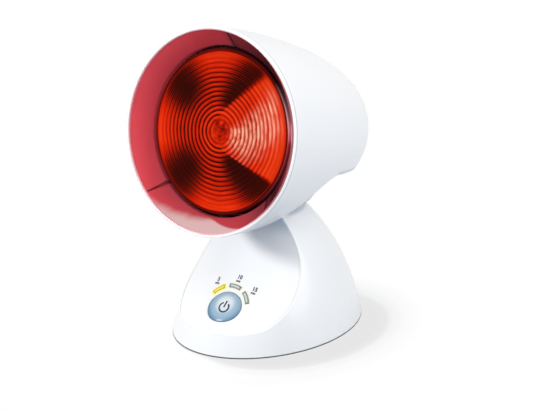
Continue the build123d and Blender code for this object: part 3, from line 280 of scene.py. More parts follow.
def step_up(tree, value, low, high):
    """0 below low, 1 above high, smooth between; turned round if low is the larger."""
    made = add_node(tree, "MapRange", interpolation_type="SMOOTHSTEP")
    feed(tree, value, made.inputs["Value"])
    feed(tree, low, made.inputs["From Min"])
    feed(tree, high, made.inputs["From Max"])
    return made.outputs["Result"]


def angle_from(tree, turn, degrees):
    """How far a share of a turn is from an angle, on either side."""
    return size_of(tree, minus(tree, turn, turn_share(degrees)))


def noise(tree, place, size, detail=2.0, roughness=0.5):
    """Soft noise from 0 to 1 whose blotches have about this size, in the place's own units."""
    made = add_node(tree, "TexNoise")
    feed(tree, place, made.inputs["Vector"])
    scale = 1 / size if isinstance(size, (int, float)) else calc(tree, "DIVIDE", 1.0, size)
    feed(tree, scale, made.inputs["Scale"])
    feed(tree, detail, made.inputs["Detail"])
    feed(tree, roughness, made.inputs["Roughness"])
    return made.outputs[0]


def object_place(tree):
    return add_node(tree, "TexCoord").outputs["Object"]


def place_from(tree, centre, turn):
    """Object coordinates from a centre, in a frame that is turned about X."""
    mapping = add_node(tree, "Mapping")
    feed(tree, object_place(tree), mapping.inputs["Vector"])
    feed(tree, Matrix.Rotation(-turn, 3, "X") @ -centre, mapping.inputs["Location"])
    feed(tree, (-turn, 0.0, 0.0), mapping.inputs["Rotation"])
    return mapping.outputs[0]


def light_source(tree, kind, colour, strength):
    """Emission or Background shader."""
    made = add_node(tree, kind)
    feed(tree, colour, made.inputs["Color"])
    feed(tree, strength, made.inputs["Strength"])
    return made.outputs[0]


def matt(tree, colour):
    made = add_node(tree, "BsdfDiffuse")
    feed(tree, colour, made.inputs["Color"])
    return made.outputs[0]


def mix_shaders(tree, share, first, second):
    made = add_node(tree, "MixShader")
    feed_all(tree, (share, first, second), made.inputs)
    return made.outputs[0]


# ======== node groups
def new_group(name, inputs, outputs):
    """Empty node group with named sockets, its inputs and its outputs to feed."""
    group = bpy.data.node_groups.new(name, "ShaderNodeTree")
    for side, sockets in (("INPUT", inputs), ("OUTPUT", outputs)):
        for label, kind in sockets.items():
            group.interface.new_socket(name=label, in_out=side, socket_type="NodeSocket" + kind)
    source = group.nodes.new("NodeGroupInput")
    sink = group.nodes.new("NodeGroupOutput")
    return group, source.outputs, sink.inputs


def effect(tree, group, **values):
    """Places a node group in a material and gives its outputs."""
    made = tree.nodes.new("ShaderNodeGroup")
    made.node_tree = group
    for label, value in values.items():
        feed(tree, value, made.inputs[label])
    return made.outputs


def make_tone_drift():
    """Colour that grows a little lighter and darker over the surface."""
    sockets = {"Place": "Vector", "Colour": "Color", "Amount": "Float", "Size": "Float"}
    group, source, sink = new_group("tone_drift", sockets, {"Colour": "Color"})
    drift = noise(group, source["Place"], source["Size"], 3.0)
    factor = plus(group, swing(group, drift, source["Amount"]), 1.0)
    feed(group, scaled_value(group, factor, source["Colour"]), sink["Colour"])
    return group


def make_fine_grain():
    """Height of the grain that a mould leaves."""
    group, source, sink = new_group("fine_grain", {"Place": "Vector", "Size": "Float"}, {"Height": "Float"})
    feed(group, noise(group, source["Place"], source["Size"], 3.0, 0.6), sink["Height"])
    return group


def make_hand_marks():
    """Roughness with faint wiped and touched places."""
    sockets = {"Place": "Vector", "Roughness": "Float", "Spread": "Float", "Size": "Float"}
    group, source, sink = new_group("hand_marks", sockets, {"Roughness": "Float"})
    wiped = add_node(group, "TexNoise")
    stretched = vector_calc(group, "MULTIPLY", source["Place"], (1.0, 0.45, 1.6))
    feed(group, stretched, wiped.inputs["Vector"])
    feed(group, calc(group, "DIVIDE", 1.0, source["Size"]), wiped.inputs["Scale"])
    feed(group, 5.0, wiped.inputs["Detail"])
    feed(group, 1.2, wiped.inputs["Distortion"])
    marks = swing(group, wiped.outputs[0], source["Spread"])
    feed(group, calc(group, "ADD", source["Roughness"], marks, clamp=True), sink["Roughness"])
    return group


def make_drawn_lines():
    """Height and shade of fine lines along X, as on rolled or drawn metal."""
    sockets = {"Place": "Vector", "Size": "Float"}
    group, source, sink = new_group("drawn_lines", sockets, {"Height": "Float", "Shade": "Float"})
    stretched = vector_calc(group, "MULTIPLY", source["Place"], (0.04, 1.0, 1.0))
    lines = noise(group, stretched, source["Size"], 4.0, 0.7)
    feed(group, lines, sink["Height"])
    feed(group, plus(group, times(group, lines, 0.3), 0.85), sink["Shade"])
    return group


def make_polar():
    """Distance from the axis, share of a turn from the left, and unit direction, seen from the front."""
    outputs = {"Radius": "Float", "Turn": "Float", "Direction": "Vector"}
    group, source, sink = new_group("polar", {"Place": "Vector"}, outputs)
    flat = vector_calc(group, "MULTIPLY", source["Place"], (1.0, 1.0, 0.0))
    x, y, _ = axes_of(group, flat)
    turn = plus(group, calc(group, "DIVIDE", calc(group, "ARCTAN2", y, x), 2 * math.pi), 0.5)
    feed(group, vector_calc(group, "LENGTH", flat), sink["Radius"])
    feed(group, turn, sink["Turn"])
    feed(group, vector_calc(group, "NORMALIZE", flat), sink["Direction"])
    return group


TONE_DRIFT = make_tone_drift()
FINE_GRAIN = make_fine_grain()
HAND_MARKS = make_hand_marks()
DRAWN_LINES = make_drawn_lines()
POLAR = make_polar()


# ======== material helpers
def blank_material(name):
    made = bpy.data.materials.new(name)
    made.use_nodes = True
    tree = made.node_tree
    tree.nodes.clear()
    return made, tree, add_node(tree, "OutputMaterial")


def shader(tree, output, **values):
    """Principled shader with plain values on its own sockets."""
    made = add_node(tree, "BsdfPrincipled")
    for label, value in values.items():
        feed(tree, value, made.inputs[label.replace("_", " ")])
    feed(tree, made.outputs[0], output.inputs["Surface"])
    return made


def drifting(tree, place, colour, amount, size):
    """Colour that drifts lighter and darker by this amount."""
    return effect(tree, TONE_DRIFT, Place=place, Colour=colour, Amount=amount, Size=size)["Colour"]


def polish(tree, surface, place, roughness, spread, size):
    """Roughness of a surface, with wiped and touched places."""
    marks = effect(tree, HAND_MARKS, Place=place, Roughness=roughness, Spread=spread, Size=size)
    feed(tree, marks["Roughness"], surface.inputs["Roughness"])


def relief(tree, height, depth, surface):
    """Bump of this depth in metres on a shader."""
    bump = add_node(tree, "Bump")
    feed(tree, height, bump.inputs["Height"])
    feed(tree, depth, bump.inputs["Distance"])
    feed(tree, 1.0, bump.inputs["Strength"])
    feed(tree, bump.outputs[0], surface.inputs["Normal"])


def grain(tree, surface, place, size, depth):
    """Mould grain on a surface."""
    relief(tree, effect(tree, FINE_GRAIN, Place=place, Size=size)["Height"], depth, surface)


# ======== plain finishes
def moulded(name, colour, roughness, grain_size, depth):
    """Moulded plastic, rubber or ceramic: drifting tone, touched gloss and mould grain."""
    made, tree, output = blank_material(name)
    surface = shader(tree, output)
    place = object_place(tree)
    feed(tree, drifting(tree, place, colour, 0.05, 0.03), surface.inputs["Base Color"])
    polish(tree, surface, place, roughness, 0.12, 0.02)
    grain(tree, surface, place, grain_size, depth)
    return made


def metal(name, colour, roughness, line, depth):
    """Drawn or rolled metal: fine lines in its shade and its surface."""
    made, tree, output = blank_material(name)
    surface = shader(tree, output, Metallic=1.0)
    place = object_place(tree)
    lines = effect(tree, DRAWN_LINES, Place=place, Size=line)
    lined = scaled_value(tree, lines["Shade"], colour)
    feed(tree, drifting(tree, place, lined, 0.16, 0.012), surface.inputs["Base Color"])
    polish(tree, surface, place, roughness, 0.2, 0.008)
    relief(tree, lines["Height"], depth, surface)
    return made


def board(name):
    """Lacquered circuit board with faint copper tracks under the lacquer."""
    made, tree, output = blank_material(name)
    surface = shader(tree, output, Coat_Weight=0.5, Coat_Roughness=0.2)
    place = object_place(tree)
    tracks = add_node(tree, "TexBrick")
    feed(tree, place, tracks.inputs["Vector"])
    feed(tree, ink(24, 92, 52), tracks.inputs["Color1"])
    feed(tree, ink(20, 80, 46), tracks.inputs["Color2"])
    feed(tree, ink(58, 132, 72), tracks.inputs["Mortar"])
    feed(tree, 160.0, tracks.inputs["Scale"])
    feed(tree, 0.03, tracks.inputs["Mortar Size"])
    feed(tree, drifting(tree, place, tracks.outputs["Color"], 0.2, 0.01), surface.inputs["Base Color"])
    polish(tree, surface, place, 0.4, 0.15, 0.01)
    relief(tree, tracks.outputs["Fac"], 0.00004, surface)
    return made


def clear_glass(name, colour):
    """Clear glass tube of a slightly drifting tone."""
    made, tree, output = blank_material(name)
    surface = shader(tree, output, Transmission_Weight=0.85, IOR=1.5)
    place = object_place(tree)
    feed(tree, drifting(tree, place, colour, 0.1, 0.006), surface.inputs["Base Color"])
    polish(tree, surface, place, 0.08, 0.08, 0.006)
    return made


# ======== white housing
def lip_red_reflection(tree, turn, radius, out, toned):
    """White with a painted reflection of the liner's red on the lip, wider and darker on the right, and a
    mask of the lip.
    """
    reach = round_ramp(tree, turn, [(-60, 0.0), (-25, 0.9), (25, 0.9), (60, 0.0)])
    inner = minus(tree, radius, times(tree, reach, 1.0 * MM))
    edge = step_up(tree, inner, LIP_INSIDE, LIP_INSIDE - 0.5 * MM)
    lip = times(tree, edge, step_up(tree, out, -4 * MM, -2 * MM))
    reflection_share = round_ramp(tree, turn, [
        (-180, 0.8), (-110, 0.8), (-62, 0.4), (-40, 1.0), (40, 1.0), (62, 0.4), (180, 0.8),
    ])
    red = blend(tree, reach, ink(236, 150, 158), ink(132, 40, 58))
    return blend(tree, times(tree, lip, reflection_share), toned, red), lip


def painted_close_shades(tree, up, out, height, toned):
    """Painted shade behind the lip, at the head's rear corner, where foot and head meet, and along the foot.
    """
    behind_lip = size_of(tree, plus(tree, out, 3.4 * MM))
    line = times(tree, step_up(tree, behind_lip, 1.0 * MM, 0.4 * MM), 0.32)
    toned = blend(tree, line, toned, ink(120, 132, 134))
    # Painted shade on the facet at the head's rear corner.
    rear = times(
        tree, step_up(tree, up, -21.8 * MM, -24.0 * MM), step_up(tree, up, -28 * MM, -26.5 * MM),
        step_up(tree, out, -80 * MM, -90 * MM), 0.42,
    )
    toned = blend(tree, rear, toned, ink(130, 146, 162))
    # Painted shade under the head and on the foot where they meet.
    behind_rim = step_up(tree, out, -68 * MM, -82 * MM)
    under = times(
        tree, step_up(tree, up, -66 * MM, -42 * MM), step_up(tree, up, -30 * MM, -34 * MM), behind_rim, 0.5,
    )
    painted_meeting_shade = times(
        tree, step_up(tree, height, 91.6 * MM, 95.2 * MM), behind_rim,
        step_up(tree, height, 99.0 * MM, 97.0 * MM), 0.6,
    )
    toned = blend(tree, calc(tree, "MAXIMUM", under, painted_meeting_shade), toned, ink(126, 144, 162))
    # Painted shadow line along the foot's bottom edge, over the floor.
    return blend(tree, step_up(tree, height, 1.9 * MM, 1.6 * MM), toned, ink(74, 76, 79))


def white_shell():
    """Glossy white housing of the head and the foot, with a painted red reflection, painted shades and a
    painted glow on the rim.
    """
    made, tree, output = blank_material("shell_white")
    surface = shader(tree, output, Coat_Weight=0.25, Coat_Roughness=0.06)
    place = object_place(tree)
    head = place_from(tree, HEAD_CENTRE, HEAD_TURN)
    polar = effect(tree, POLAR, Place=head)
    _, up, out = axes_of(tree, head)
    toned = drifting(tree, place, ink(243, 243, 244), 0.02, 0.06)
    toned, lip = lip_red_reflection(tree, polar["Turn"], polar["Radius"], out, toned)
    toned = painted_close_shades(tree, up, out, axes_of(tree, place)[2], toned)
    feed(tree, toned, surface.inputs["Base Color"])
    # Painted glow: faint white emission on the rim's front, away from the red lip.
    front = step_up(tree, out, -2.8 * MM, -1.8 * MM)
    shine = round_ramp(tree, polar["Turn"], [(-130, 0.0), (-90, 0.15), (60, 0.15), (100, 0.0)])
    off_lip = calc(tree, "SUBTRACT", 1.0, lip, clamp=True)
    feed(tree, times(tree, front, shine, off_lip), surface.inputs["Emission Strength"])
    feed(tree, WHITE, surface.inputs["Emission Color"])
    polish(tree, surface, place, 0.32, 0.1, 0.03)
    grain(tree, surface, place, 0.0012, 0.000006)
    return made


# ======== front panel, button and lights
def painted_light_glow(tree, place):
    """How close a place on the panel is to the left, middle and right timer light, from 0 to 1."""
    polar = effect(tree, POLAR, Place=place)
    beside = size_of(tree, minus(tree, polar["Radius"], LIGHT_ORBIT))
    beside = calc(tree, "MAXIMUM", minus(tree, beside, 1.3 * MM), 0.0)
    glows = []
    for angle in LIGHT_ANGLES:
        past = minus(tree, angle_from(tree, polar["Turn"], angle), LIGHT_HALF / 360)
        along = times(tree, calc(tree, "MAXIMUM", past, 0.0), 2 * math.pi * LIGHT_ORBIT)
        square = plus(tree, calc(tree, "POWER", along, 2.0), calc(tree, "POWER", beside, 2.0))
        glows.append(step_up(tree, calc(tree, "SQRT", square), 2.6 * MM, 0.0))
    return glows


def white_panel():
    """Smooth white panel with the timer's light painted round its lights, and painted shade where it nears
    the head.
    """
    made, tree, output = blank_material("panel_white")
    surface = shader(tree, output, Specular_IOR_Level=0.15)
    place = object_place(tree)
    left, middle, right = painted_light_glow(tree, place_from(tree, BUTTON_CENTRE, BUTTON_TURN))
    toned = drifting(tree, place, ink(244, 244, 246), 0.015, 0.05)
    # Painted light from the timer's lights: pale round the middle and right ones, yellow round the left one.
    dim_painted_light = times(tree, calc(tree, "MAXIMUM", middle, right), 0.75)
    toned = blend(tree, dim_painted_light, toned, ink(255, 250, 208))
    toned = blend(tree, left, toned, ink(255, 244, 120))
    # Painted shade of the head over the top of the panel.
    painted_head_shade = step_up(tree, axes_of(tree, place)[2], 78 * MM, 92 * MM)
    toned = blend(tree, painted_head_shade, toned, ink(195, 209, 221))
    feed(tree, toned, surface.inputs["Base Color"])
    polish(tree, surface, place, 0.45, 0.1, 0.03)
    grain(tree, surface, place, 0.0012, 0.000005)
    return made


def blue_grey_button():
    """Blue-grey button with a painted highlight, pale in the middle, and painted shade, bluer towards its
    rim.
    """
    made, tree, output = blank_material("button_grey")
    surface = shader(tree, output, Coat_Weight=0.1, Coat_Roughness=0.2, Specular_IOR_Level=0.2)
    place = place_from(tree, BUTTON_CENTRE, BUTTON_TURN)
    # Painted highlight, centred a little up and to the right of the middle; the rim is painted shade.
    highlight_middle = vector_calc(tree, "ADD", place, (-0.8 * MM, -2.0 * MM, 0.0))
    share = calc(tree, "DIVIDE", effect(tree, POLAR, Place=highlight_middle)["Radius"], 16.0 * MM)
    tone = ramp(tree, share, [
        (0.0, ink(234, 237, 238)), (0.3, ink(216, 224, 230)),
        (0.62, ink(150, 177, 196)), (1.0, ink(80, 122, 156)),
    ], "EASE")
    feed(tree, drifting(tree, place, tone, 0.03, 0.008), surface.inputs["Base Color"])
    polish(tree, surface, place, 0.25, 0.08, 0.008)
    return made


def light_cover(name, colour, outline, glow):
    """Clear cover of one of the timer's lights, with a painted highlight along its middle, and a darker
    outline.
    """
    made, tree, output = blank_material(name)
    surface = shader(
        tree, output, Coat_Weight=0.1, Coat_Roughness=0.2, Specular_IOR_Level=0.2, Emission_Strength=glow,
    )
    place = place_from(tree, BUTTON_CENTRE, BUTTON_TURN)
    polar = effect(tree, POLAR, Place=place)
    off = size_of(tree, minus(tree, polar["Radius"], LIGHT_ORBIT))
    # Painted highlight along the middle of the cover.
    middle = times(tree, step_up(tree, off, 0.6 * MM, 0.1 * MM), 0.4)
    tone = blend(tree, middle, colour, ink(240, 240, 226))
    nearest = 1.0
    for angle in LIGHT_ANGLES:
        nearest = calc(tree, "MINIMUM", nearest, angle_from(tree, polar["Turn"], angle))
    end = step_up(tree, nearest, (LIGHT_HALF - 3.4) / 360, (LIGHT_HALF - 2.0) / 360)
    border = calc(tree, "MAXIMUM", step_up(tree, off, 0.7 * MM, 1.0 * MM), end)
    tone = drifting(tree, place, blend(tree, border, tone, outline), 0.1, 0.003)
    feed(tree, tone, surface.inputs["Base Color"])
    feed(tree, tone, surface.inputs["Emission Color"])
    polish(tree, surface, place, 0.3, 0.1, 0.004)
    return made


# ======== red liner
def liner_tone(tree, turn, inside):
    """Red of the liner with painted light and shade: brightest on the left, plum on the right between two
    dark shades.
    """
    # Painted shade round the turn, from 0 on the lit left to 1 in the darkest places.
    shade = round_ramp(tree, turn, [
        (-180, 0.0), (-150, 0.08), (-128, 0.2), (-80, 0.22), (-60, 0.34), (-44, 0.6), (-32, 1.0), (-8, 0.52),
        (18, 0.52), (34, 0.98), (48, 1.0), (64, 0.82), (84, 0.56), (91, 0.26), (118, 0.08), (180, 0.0),
    ])
    # Painted shade that deepens further in.
    deeper_painted_shade = round_ramp(tree, turn, [
        (-180, 0.26), (-100, 0.22), (-60, 0.1), (84, 0.1), (104, 0.18), (180, 0.26),
    ])
    shade = plus(tree, shade, times(tree, inside, deeper_painted_shade))
    return ramp(tree, shade, [
        (0.0, ink(218, 76, 85)), (0.25, ink(182, 57, 66)), (0.52, ink(138, 52, 62)), (1.0, ink(58, 24, 28)),
    ])


def pale_reflection_patch(tree, turn, direction, inside):
    """1 in the pale wedge of painted reflection at the bottom of the liner, with a wavering left side and a
    sharp right one.
    """
    waver = swing(tree, noise(tree, direction, 0.12), 0.03)
    left = plus(tree, times(tree, inside, 0.114), plus(tree, waver, turn_share(-126)))
    right = minus(tree, turn_share(-60.5), times(tree, inside, 0.085))
    past_left = step_up(tree, minus(tree, turn, left), -0.035, 0.035)
    before_right = step_up(tree, minus(tree, right, turn), -0.004, 0.008)
    return times(tree, past_left, before_right, step_up(tree, inside, 1.0, 0.75))


def seam_lines(tree, turn, inside, toned):
    """Dark painted shade along each seam, wider towards the lens."""
    for angle in SEAM_ANGLES:
        width = plus(tree, times(tree, inside, 0.004), 0.0018)
        line = step_up(tree, angle_from(tree, turn, angle), width, times(tree, width, 0.4))
        toned = blend(tree, times(tree, line, 0.75), toned, ink(52, 18, 22))
    return toned


def red_liner():
    """Satin red funnel, painted lighter and darker round its turn for the lamp's own light, with a painted
    gloss streak and glow.
    """
    made, tree, output = blank_material("liner_red")
    surface = shader(tree, output, Specular_IOR_Level=0.03, Emission_Strength=1.0)
    place = place_from(tree, HEAD_CENTRE, HEAD_TURN)
    polar = effect(tree, POLAR, Place=place)
    turn = polar["Turn"]
    inward = times(tree, axes_of(tree, place)[2], -1.0)
    inside = calc(tree, "DIVIDE", minus(tree, inward, LINER_START), LINER_DEPTH, clamp=True)
    lines = noise(tree, polar["Direction"], 0.03)
    # Painted sheen streaks near the right.
    near_right = step_up(tree, angle_from(tree, turn, 12), 0.2, 0.1)
    painted_sheen_streaks = times(tree, swing(tree, lines, near_right), 1.3)
    toned = scaled_value(tree, plus(tree, painted_sheen_streaks, 1.0), liner_tone(tree, turn, inside))
    # Painted gloss streak near the right.
    gloss = round_ramp(tree, turn, [
        (-14, 0.0), (-4, 0.16), (1, 0.2), (3.5, 0.95), (12, 0.95), (15, 0.2), (24, 0.2), (34, 0.0),
    ])
    gloss = times(tree, gloss, plus(tree, times(tree, lines, 0.9), 0.45), clamp=True)
    toned = blend(tree, gloss, toned, ink(226, 178, 190))
    # Pale painted reflection at the bottom of the liner.
    pale = pale_reflection_patch(tree, turn, polar["Direction"], inside)
    toned = blend(tree, pale, toned, ink(204, 172, 172))
    toned = drifting(tree, place, seam_lines(tree, turn, inside, toned), 0.07, 0.02)
    feed(tree, toned, surface.inputs["Base Color"])
    # Painted glow, strongest on the left, off the pale reflection.
    liner_painted_glow = round_ramp(tree, turn, [
        (-180, 0.33), (-120, 0.26), (-60, 0.1), (-40, 0.0), (84, 0.0), (90, 0.16), (130, 0.28), (180, 0.33),
    ])
    liner_painted_glow = calc(tree, "MAXIMUM", liner_painted_glow, times(tree, gloss, 0.45))
    liner_painted_glow = times(tree, liner_painted_glow, minus(tree, 1.0, pale))
    feed(tree, blend(tree, liner_painted_glow, BLACK, toned), surface.inputs["Emission Color"])
    polish(tree, surface, place, 0.34, 0.12, 0.02)
    return made


# ======== red lens, with radii in millimetres
def fan_edges(tree, turn, radius):
    """1 past the lower edge and 1 before the upper edge of the painted bright fan on the right, which
    spreads inwards.
    """
    splay = times(tree, minus(tree, calc(tree, "DIVIDE", 1.0, radius), 1 / LENS_EDGE), 2.0)
    low = minus(tree, turn, minus(tree, turn_share(-30), splay))
    high = minus(tree, plus(tree, turn_share(53), splay), turn)
    return step_up(tree, low, -0.008, 0.008), step_up(tree, high, -0.014, 0.014)


def lens_darks(tree, turn, radius, past_low, before_high):
    """How dark the painted reflection in the lens is beside the bright fan and in its two shaded fields."""
    fields = []
    for angle, width, start in ((-131, 0.1, 20), (143, 0.1, 22)):
        field = step_up(tree, angle_from(tree, turn, angle), width, 0.0)
        fields.append(times(tree, field, step_up(tree, radius, start, start + 20)))
    lean = times(tree, minus(tree, radius, 55.0), 0.5 / 360)
    under = step_up(tree, minus(tree, turn, lean), turn_share(-74), turn_share(-40))
    under = times(tree, minus(tree, 1.0, past_low), under)
    over = step_up(tree, plus(tree, turn, lean), turn_share(92), turn_share(60))
    over = times(tree, minus(tree, 1.0, before_high), over, 0.9)
    beside = times(tree, calc(tree, "MAXIMUM", under, over), step_up(tree, radius, 14, 24))
    shaded = calc(tree, "MAXIMUM", calc(tree, "MAXIMUM", *fields), beside)
    return times(tree, shaded, step_up(tree, radius, 62.0, 55.0))


def pale_highlight_arcs(tree, turn, radius, crest):
    """Short pale arcs of painted highlight on the ridges of the bright fan, in a band that narrows towards
    the edge.
    """
    ring = calc(tree, "DIVIDE", radius, RIDGE_PITCH / MM)
    spots = flat_vector(tree, times(tree, turn, 22.0), ring)
    spark = step_up(tree, noise(tree, spots, 1.0, 2.0, 0.6), 0.24, 0.68)
    lean = times(tree, calc(tree, "MAXIMUM", minus(tree, radius, 22.0), 0.0), 0.8 / 360)
    tight = times(tree, calc(tree, "MAXIMUM", minus(tree, radius, 30.0), 0.0), 0.03)
    off = minus(tree, turn, plus(tree, lean, turn_share(5)))
    off = times(tree, off, plus(tree, tight, 1.0))
    across = times(tree, step_up(tree, off, -0.18, -0.02), step_up(tree, off, 0.09, 0.01))
    along = times(tree, step_up(tree, radius, 7, 14), step_up(tree, radius, LENS_EDGE, 48))
    ridge = plus(tree, calc(tree, "POWER", crest, 1.2), 0.18)
    return times(tree, times(tree, across, along), times(tree, ridge, spark))


def ridge_grooves(tree, radius, crest, fan, wander):
    """How dark the painted shade in the grooves between the ridges is, fading towards the middle, the edge
    and the fan.
    """
    deep = ramp(tree, calc(tree, "DIVIDE", radius, LENS_EDGE), [
        (0.08, 0.0), (0.15, 0.5), (0.24, 0.95), (0.54, 0.86), (0.72, 0.56), (0.85, 0.3), (0.95, 0.0),
    ])
    deep = times(tree, deep, minus(tree, 1.0, times(tree, fan, 0.45)))
    deep = times(tree, deep, plus(tree, times(tree, wander, 1.2), 0.6), clamp=True)
    return times(tree, calc(tree, "POWER", minus(tree, 1.0, crest), 1.9), deep)


def lens_level(tree, place, radius, fan, wander):
    """How bright the painted light in the glass is before its grooves and dark fields: mottled hub, rings
    and fan.
    """
    level = ramp(tree, calc(tree, "DIVIDE", radius, LENS_EDGE), [
        (0.0, 0.44), (0.1, 0.46), (0.17, 0.66), (0.22, 0.74), (0.34, 0.58), (0.6, 0.58), (0.8, 0.67),
        (0.94, 0.73), (0.968, 0.68), (0.98, 0.2),
    ])
    lift = times(tree, step_up(tree, radius, 11, 18), step_up(tree, radius, 58.6, 50.0))
    level = plus(tree, level, times(tree, times(tree, fan, lift), 0.15), swing(tree, wander, 0.3))
    hub = swing(tree, noise(tree, place, 0.0045, 1.0), step_up(tree, radius, 13, 7))
    return plus(tree, level, times(tree, hub, 1.1))


def red_lens():
    """Deep red pressed glass, with the mirror's bright and dark fans painted on as reflections seen through
    rings of ridges.
    """
    made, tree, output = blank_material("lens_red")
    surface = shader(tree, output, Specular_IOR_Level=0.0)
    place = place_from(tree, HEAD_CENTRE, HEAD_TURN)
    polar = effect(tree, POLAR, Place=place)
    radius = calc(tree, "MAXIMUM", times(tree, polar["Radius"], 1 / MM), 1.0)
    turn = plus(tree, polar["Turn"], swing(tree, noise(tree, place, 0.004), 0.006))
    phase = calc(tree, "DIVIDE", minus(tree, polar["Radius"], RIDGE_FIRST), RIDGE_PITCH)
    phase = plus(tree, phase, swing(tree, noise(tree, place, 0.012), 0.35))
    crest = wave(tree, phase)
    fine = wave(tree, times(tree, phase, 2.0))
    zone = flat_vector(tree, times(tree, turn, 12.0), calc(tree, "DIVIDE", radius, 2.6))
    wander = noise(tree, zone, 1.0)
    past_low, before_high = fan_edges(tree, turn, radius)
    fan = times(tree, past_low, before_high)
    groove = ridge_grooves(tree, radius, crest, fan, wander)
    level = times(tree, lens_level(tree, place, radius, fan, wander), minus(tree, 1.0, groove))
    dark = lens_darks(tree, turn, radius, past_low, before_high)
    sunk = plus(tree, times(tree, minus(tree, 1.0, fine), 0.7), 0.85)
    dark = times(tree, times(tree, dark, sunk), plus(tree, times(tree, wander, 0.5), 0.75), clamp=True)
    level = times(tree, level, minus(tree, 1.0, times(tree, dark, 0.95)), clamp=True)
    glass = ramp(tree, level, [
        (0.0, ink(42, 10, 7)), (0.12, ink(72, 14, 8)), (0.3, ink(128, 21, 9)), (0.5, ink(188, 31, 7)),
        (0.66, ink(214, 42, 12)), (0.84, ink(234, 64, 24)), (1.0, ink(248, 98, 56)),
    ])
    # Painted highlight arcs in the bright fan.
    painted_streak = times(tree, pale_highlight_arcs(tree, turn, radius, crest), fan, clamp=True)
    glass = blend(tree, painted_streak, glass, ink(254, 178, 148))
    # Dark edge of the lens, with a painted highlight on its right.
    edge_tone_and_highlight = round_ramp(tree, polar["Turn"], [
        (-50, ink(84, 20, 26)), (0, ink(200, 80, 92)), (16, ink(250, 198, 202)), (44, ink(84, 20, 26)),
    ])
    glass = blend(tree, step_up(tree, radius, 59.9, 60.1), glass, edge_tone_and_highlight)
    feed(tree, glass, surface.inputs["Base Color"])
    polish(tree, surface, place, 0.2, 0.08, 0.02)
    return made


# ======== cover and the table of finishes
def cover_grey():
    """Grey cover under the bell, with painted dark red shade where it faces up, behind the rim of the bulb.
    """
    made, tree, output = blank_material("cover_grey")
    surface = shader(tree, output, Specular_IOR_Level=0.05)
    place = object_place(tree)
    normal = add_node(tree, "TexCoord").outputs["Normal"]
    # Painted shade on the faces that look up into the head.
    upward = step_up(tree, axes_of(tree, normal)[2], 0.0, 0.2)
    toned = drifting(tree, place, blend(tree, upward, ink(198, 205, 213), ink(46, 18, 22)), 0.05, 0.03)
    feed(tree, toned, surface.inputs["Base Color"])
    polish(tree, surface, place, 0.5, 0.12, 0.02)
    grain(tree, surface, place, 0.0006, 0.00002)
    return made


def make_finishes():
    """One material for each slot of the record."""
    made = {
        "cover_grey": cover_grey(),
        "shell_white": white_shell(),
        "panel_white": white_panel(),
        "liner_red": red_liner(),
        "lens_red": red_lens(),
        "button_grey": blue_grey_button(),
        "board_green": board("board_green"),
        "fuse_glass": clear_glass("fuse_glass", ink(232, 236, 236)),
    }
    plastics = {
        # Dark red instead of silver: painted shade, as it shows through the gap round the lens.
        "reflector_silver": (ink(84, 52, 56), 0.7, 0.004, 0.000002),
        "black_glass": (ink(30, 30, 32), 0.2, 0.002, 0.00001),
        "holder_ceramic": (ink(228, 224, 212), 0.6, 0.0008, 0.00003),
        "bush_nylon": (ink(226, 222, 208), 0.45, 0.0008, 0.00001),
        "foot_rubber": (ink(52, 53, 56), 0.8, 0.0004, 0.00003),
        "guide_clear": (ink(150, 152, 140), 0.3, 0.002, 0.000005),
        "led_body": (ink(236, 226, 160), 0.3, 0.001, 0.000005),
        "chip_black": (ink(40, 40, 43), 0.6, 0.0004, 0.00002),
        "relay_blue": (ink(38, 84, 150), 0.35, 0.001, 0.00001),
        "block_green": (ink(60, 140, 88), 0.4, 0.0008, 0.00001),
        "gland_grey": (ink(150, 155, 162), 0.5, 0.0006, 0.00002),
        "lead_silicone": (ink(206, 198, 178), 0.55, 0.0008, 0.00001),
    }
    for name, (colour, roughness, grain_size, depth) in plastics.items():
        made[name] = moulded(name, colour, roughness, grain_size, depth)
    metals = {
        "cap_metal": (ink(206, 206, 202), 0.3, 0.0004, 0.000008),
        "contact_brass": (ink(206, 172, 104), 0.35, 0.0004, 0.000008),
        "filament_wire": (ink(160, 156, 150), 0.4, 0.0002, 0.000008),
        # Dark red: painted shade, as the clips show through the gap round the lens.
        "clip_steel": (ink(78, 60, 62), 0.55, 0.0003, 0.00001),
        "screw_steel": (ink(186, 188, 192), 0.35, 0.0003, 0.00001),
        "zinc_plate": (ink(190, 194, 198), 0.42, 0.0005, 0.00001),
        # Dark red: painted shade, as the shield shows through the gap round the lens.
        "shield_aluminium": (ink(112, 92, 92), 0.45, 0.0006, 0.00001),
    }
    for name, (colour, roughness, line, depth) in metals.items():
        made[name] = metal(name, colour, roughness, line, depth)
    return made


def finish_frame(finishes):
    """Gives each CAD node the material of its slot."""
    for entry in frame["record"]["subparts"]:
        piece = nodes[entry["node"]]
        piece.data.materials.clear()
        piece.data.materials.append(finishes[entry["material_slot"]])


# ======== modelling helpers
def nothing_selected():
    if bpy.context.object and bpy.context.object.mode != "OBJECT":
        bpy.ops.object.mode_set(mode="OBJECT")
    bpy.ops.object.select_all(action="DESELECT")


def only(piece):
    """Selects one piece and makes it the active one."""
    nothing_selected()
    piece.select_set(True)
    bpy.context.view_layer.objects.active = piece


def begin_edit(piece, kind="VERT"):
    only(piece)
    bpy.ops.object.mode_set(mode="EDIT")
    bpy.ops.mesh.select_mode(type=kind)
    bpy.ops.mesh.select_all(action="SELECT")


def end_edit():
    """Merges doubled points, turns all faces outwards and leaves edit mode."""
    bpy.ops.mesh.select_all(action="SELECT")
    bpy.ops.mesh.remove_doubles(threshold=1e-6)
    bpy.ops.mesh.normals_make_consistent(inside=False)
    bpy.ops.object.mode_set(mode="OBJECT")


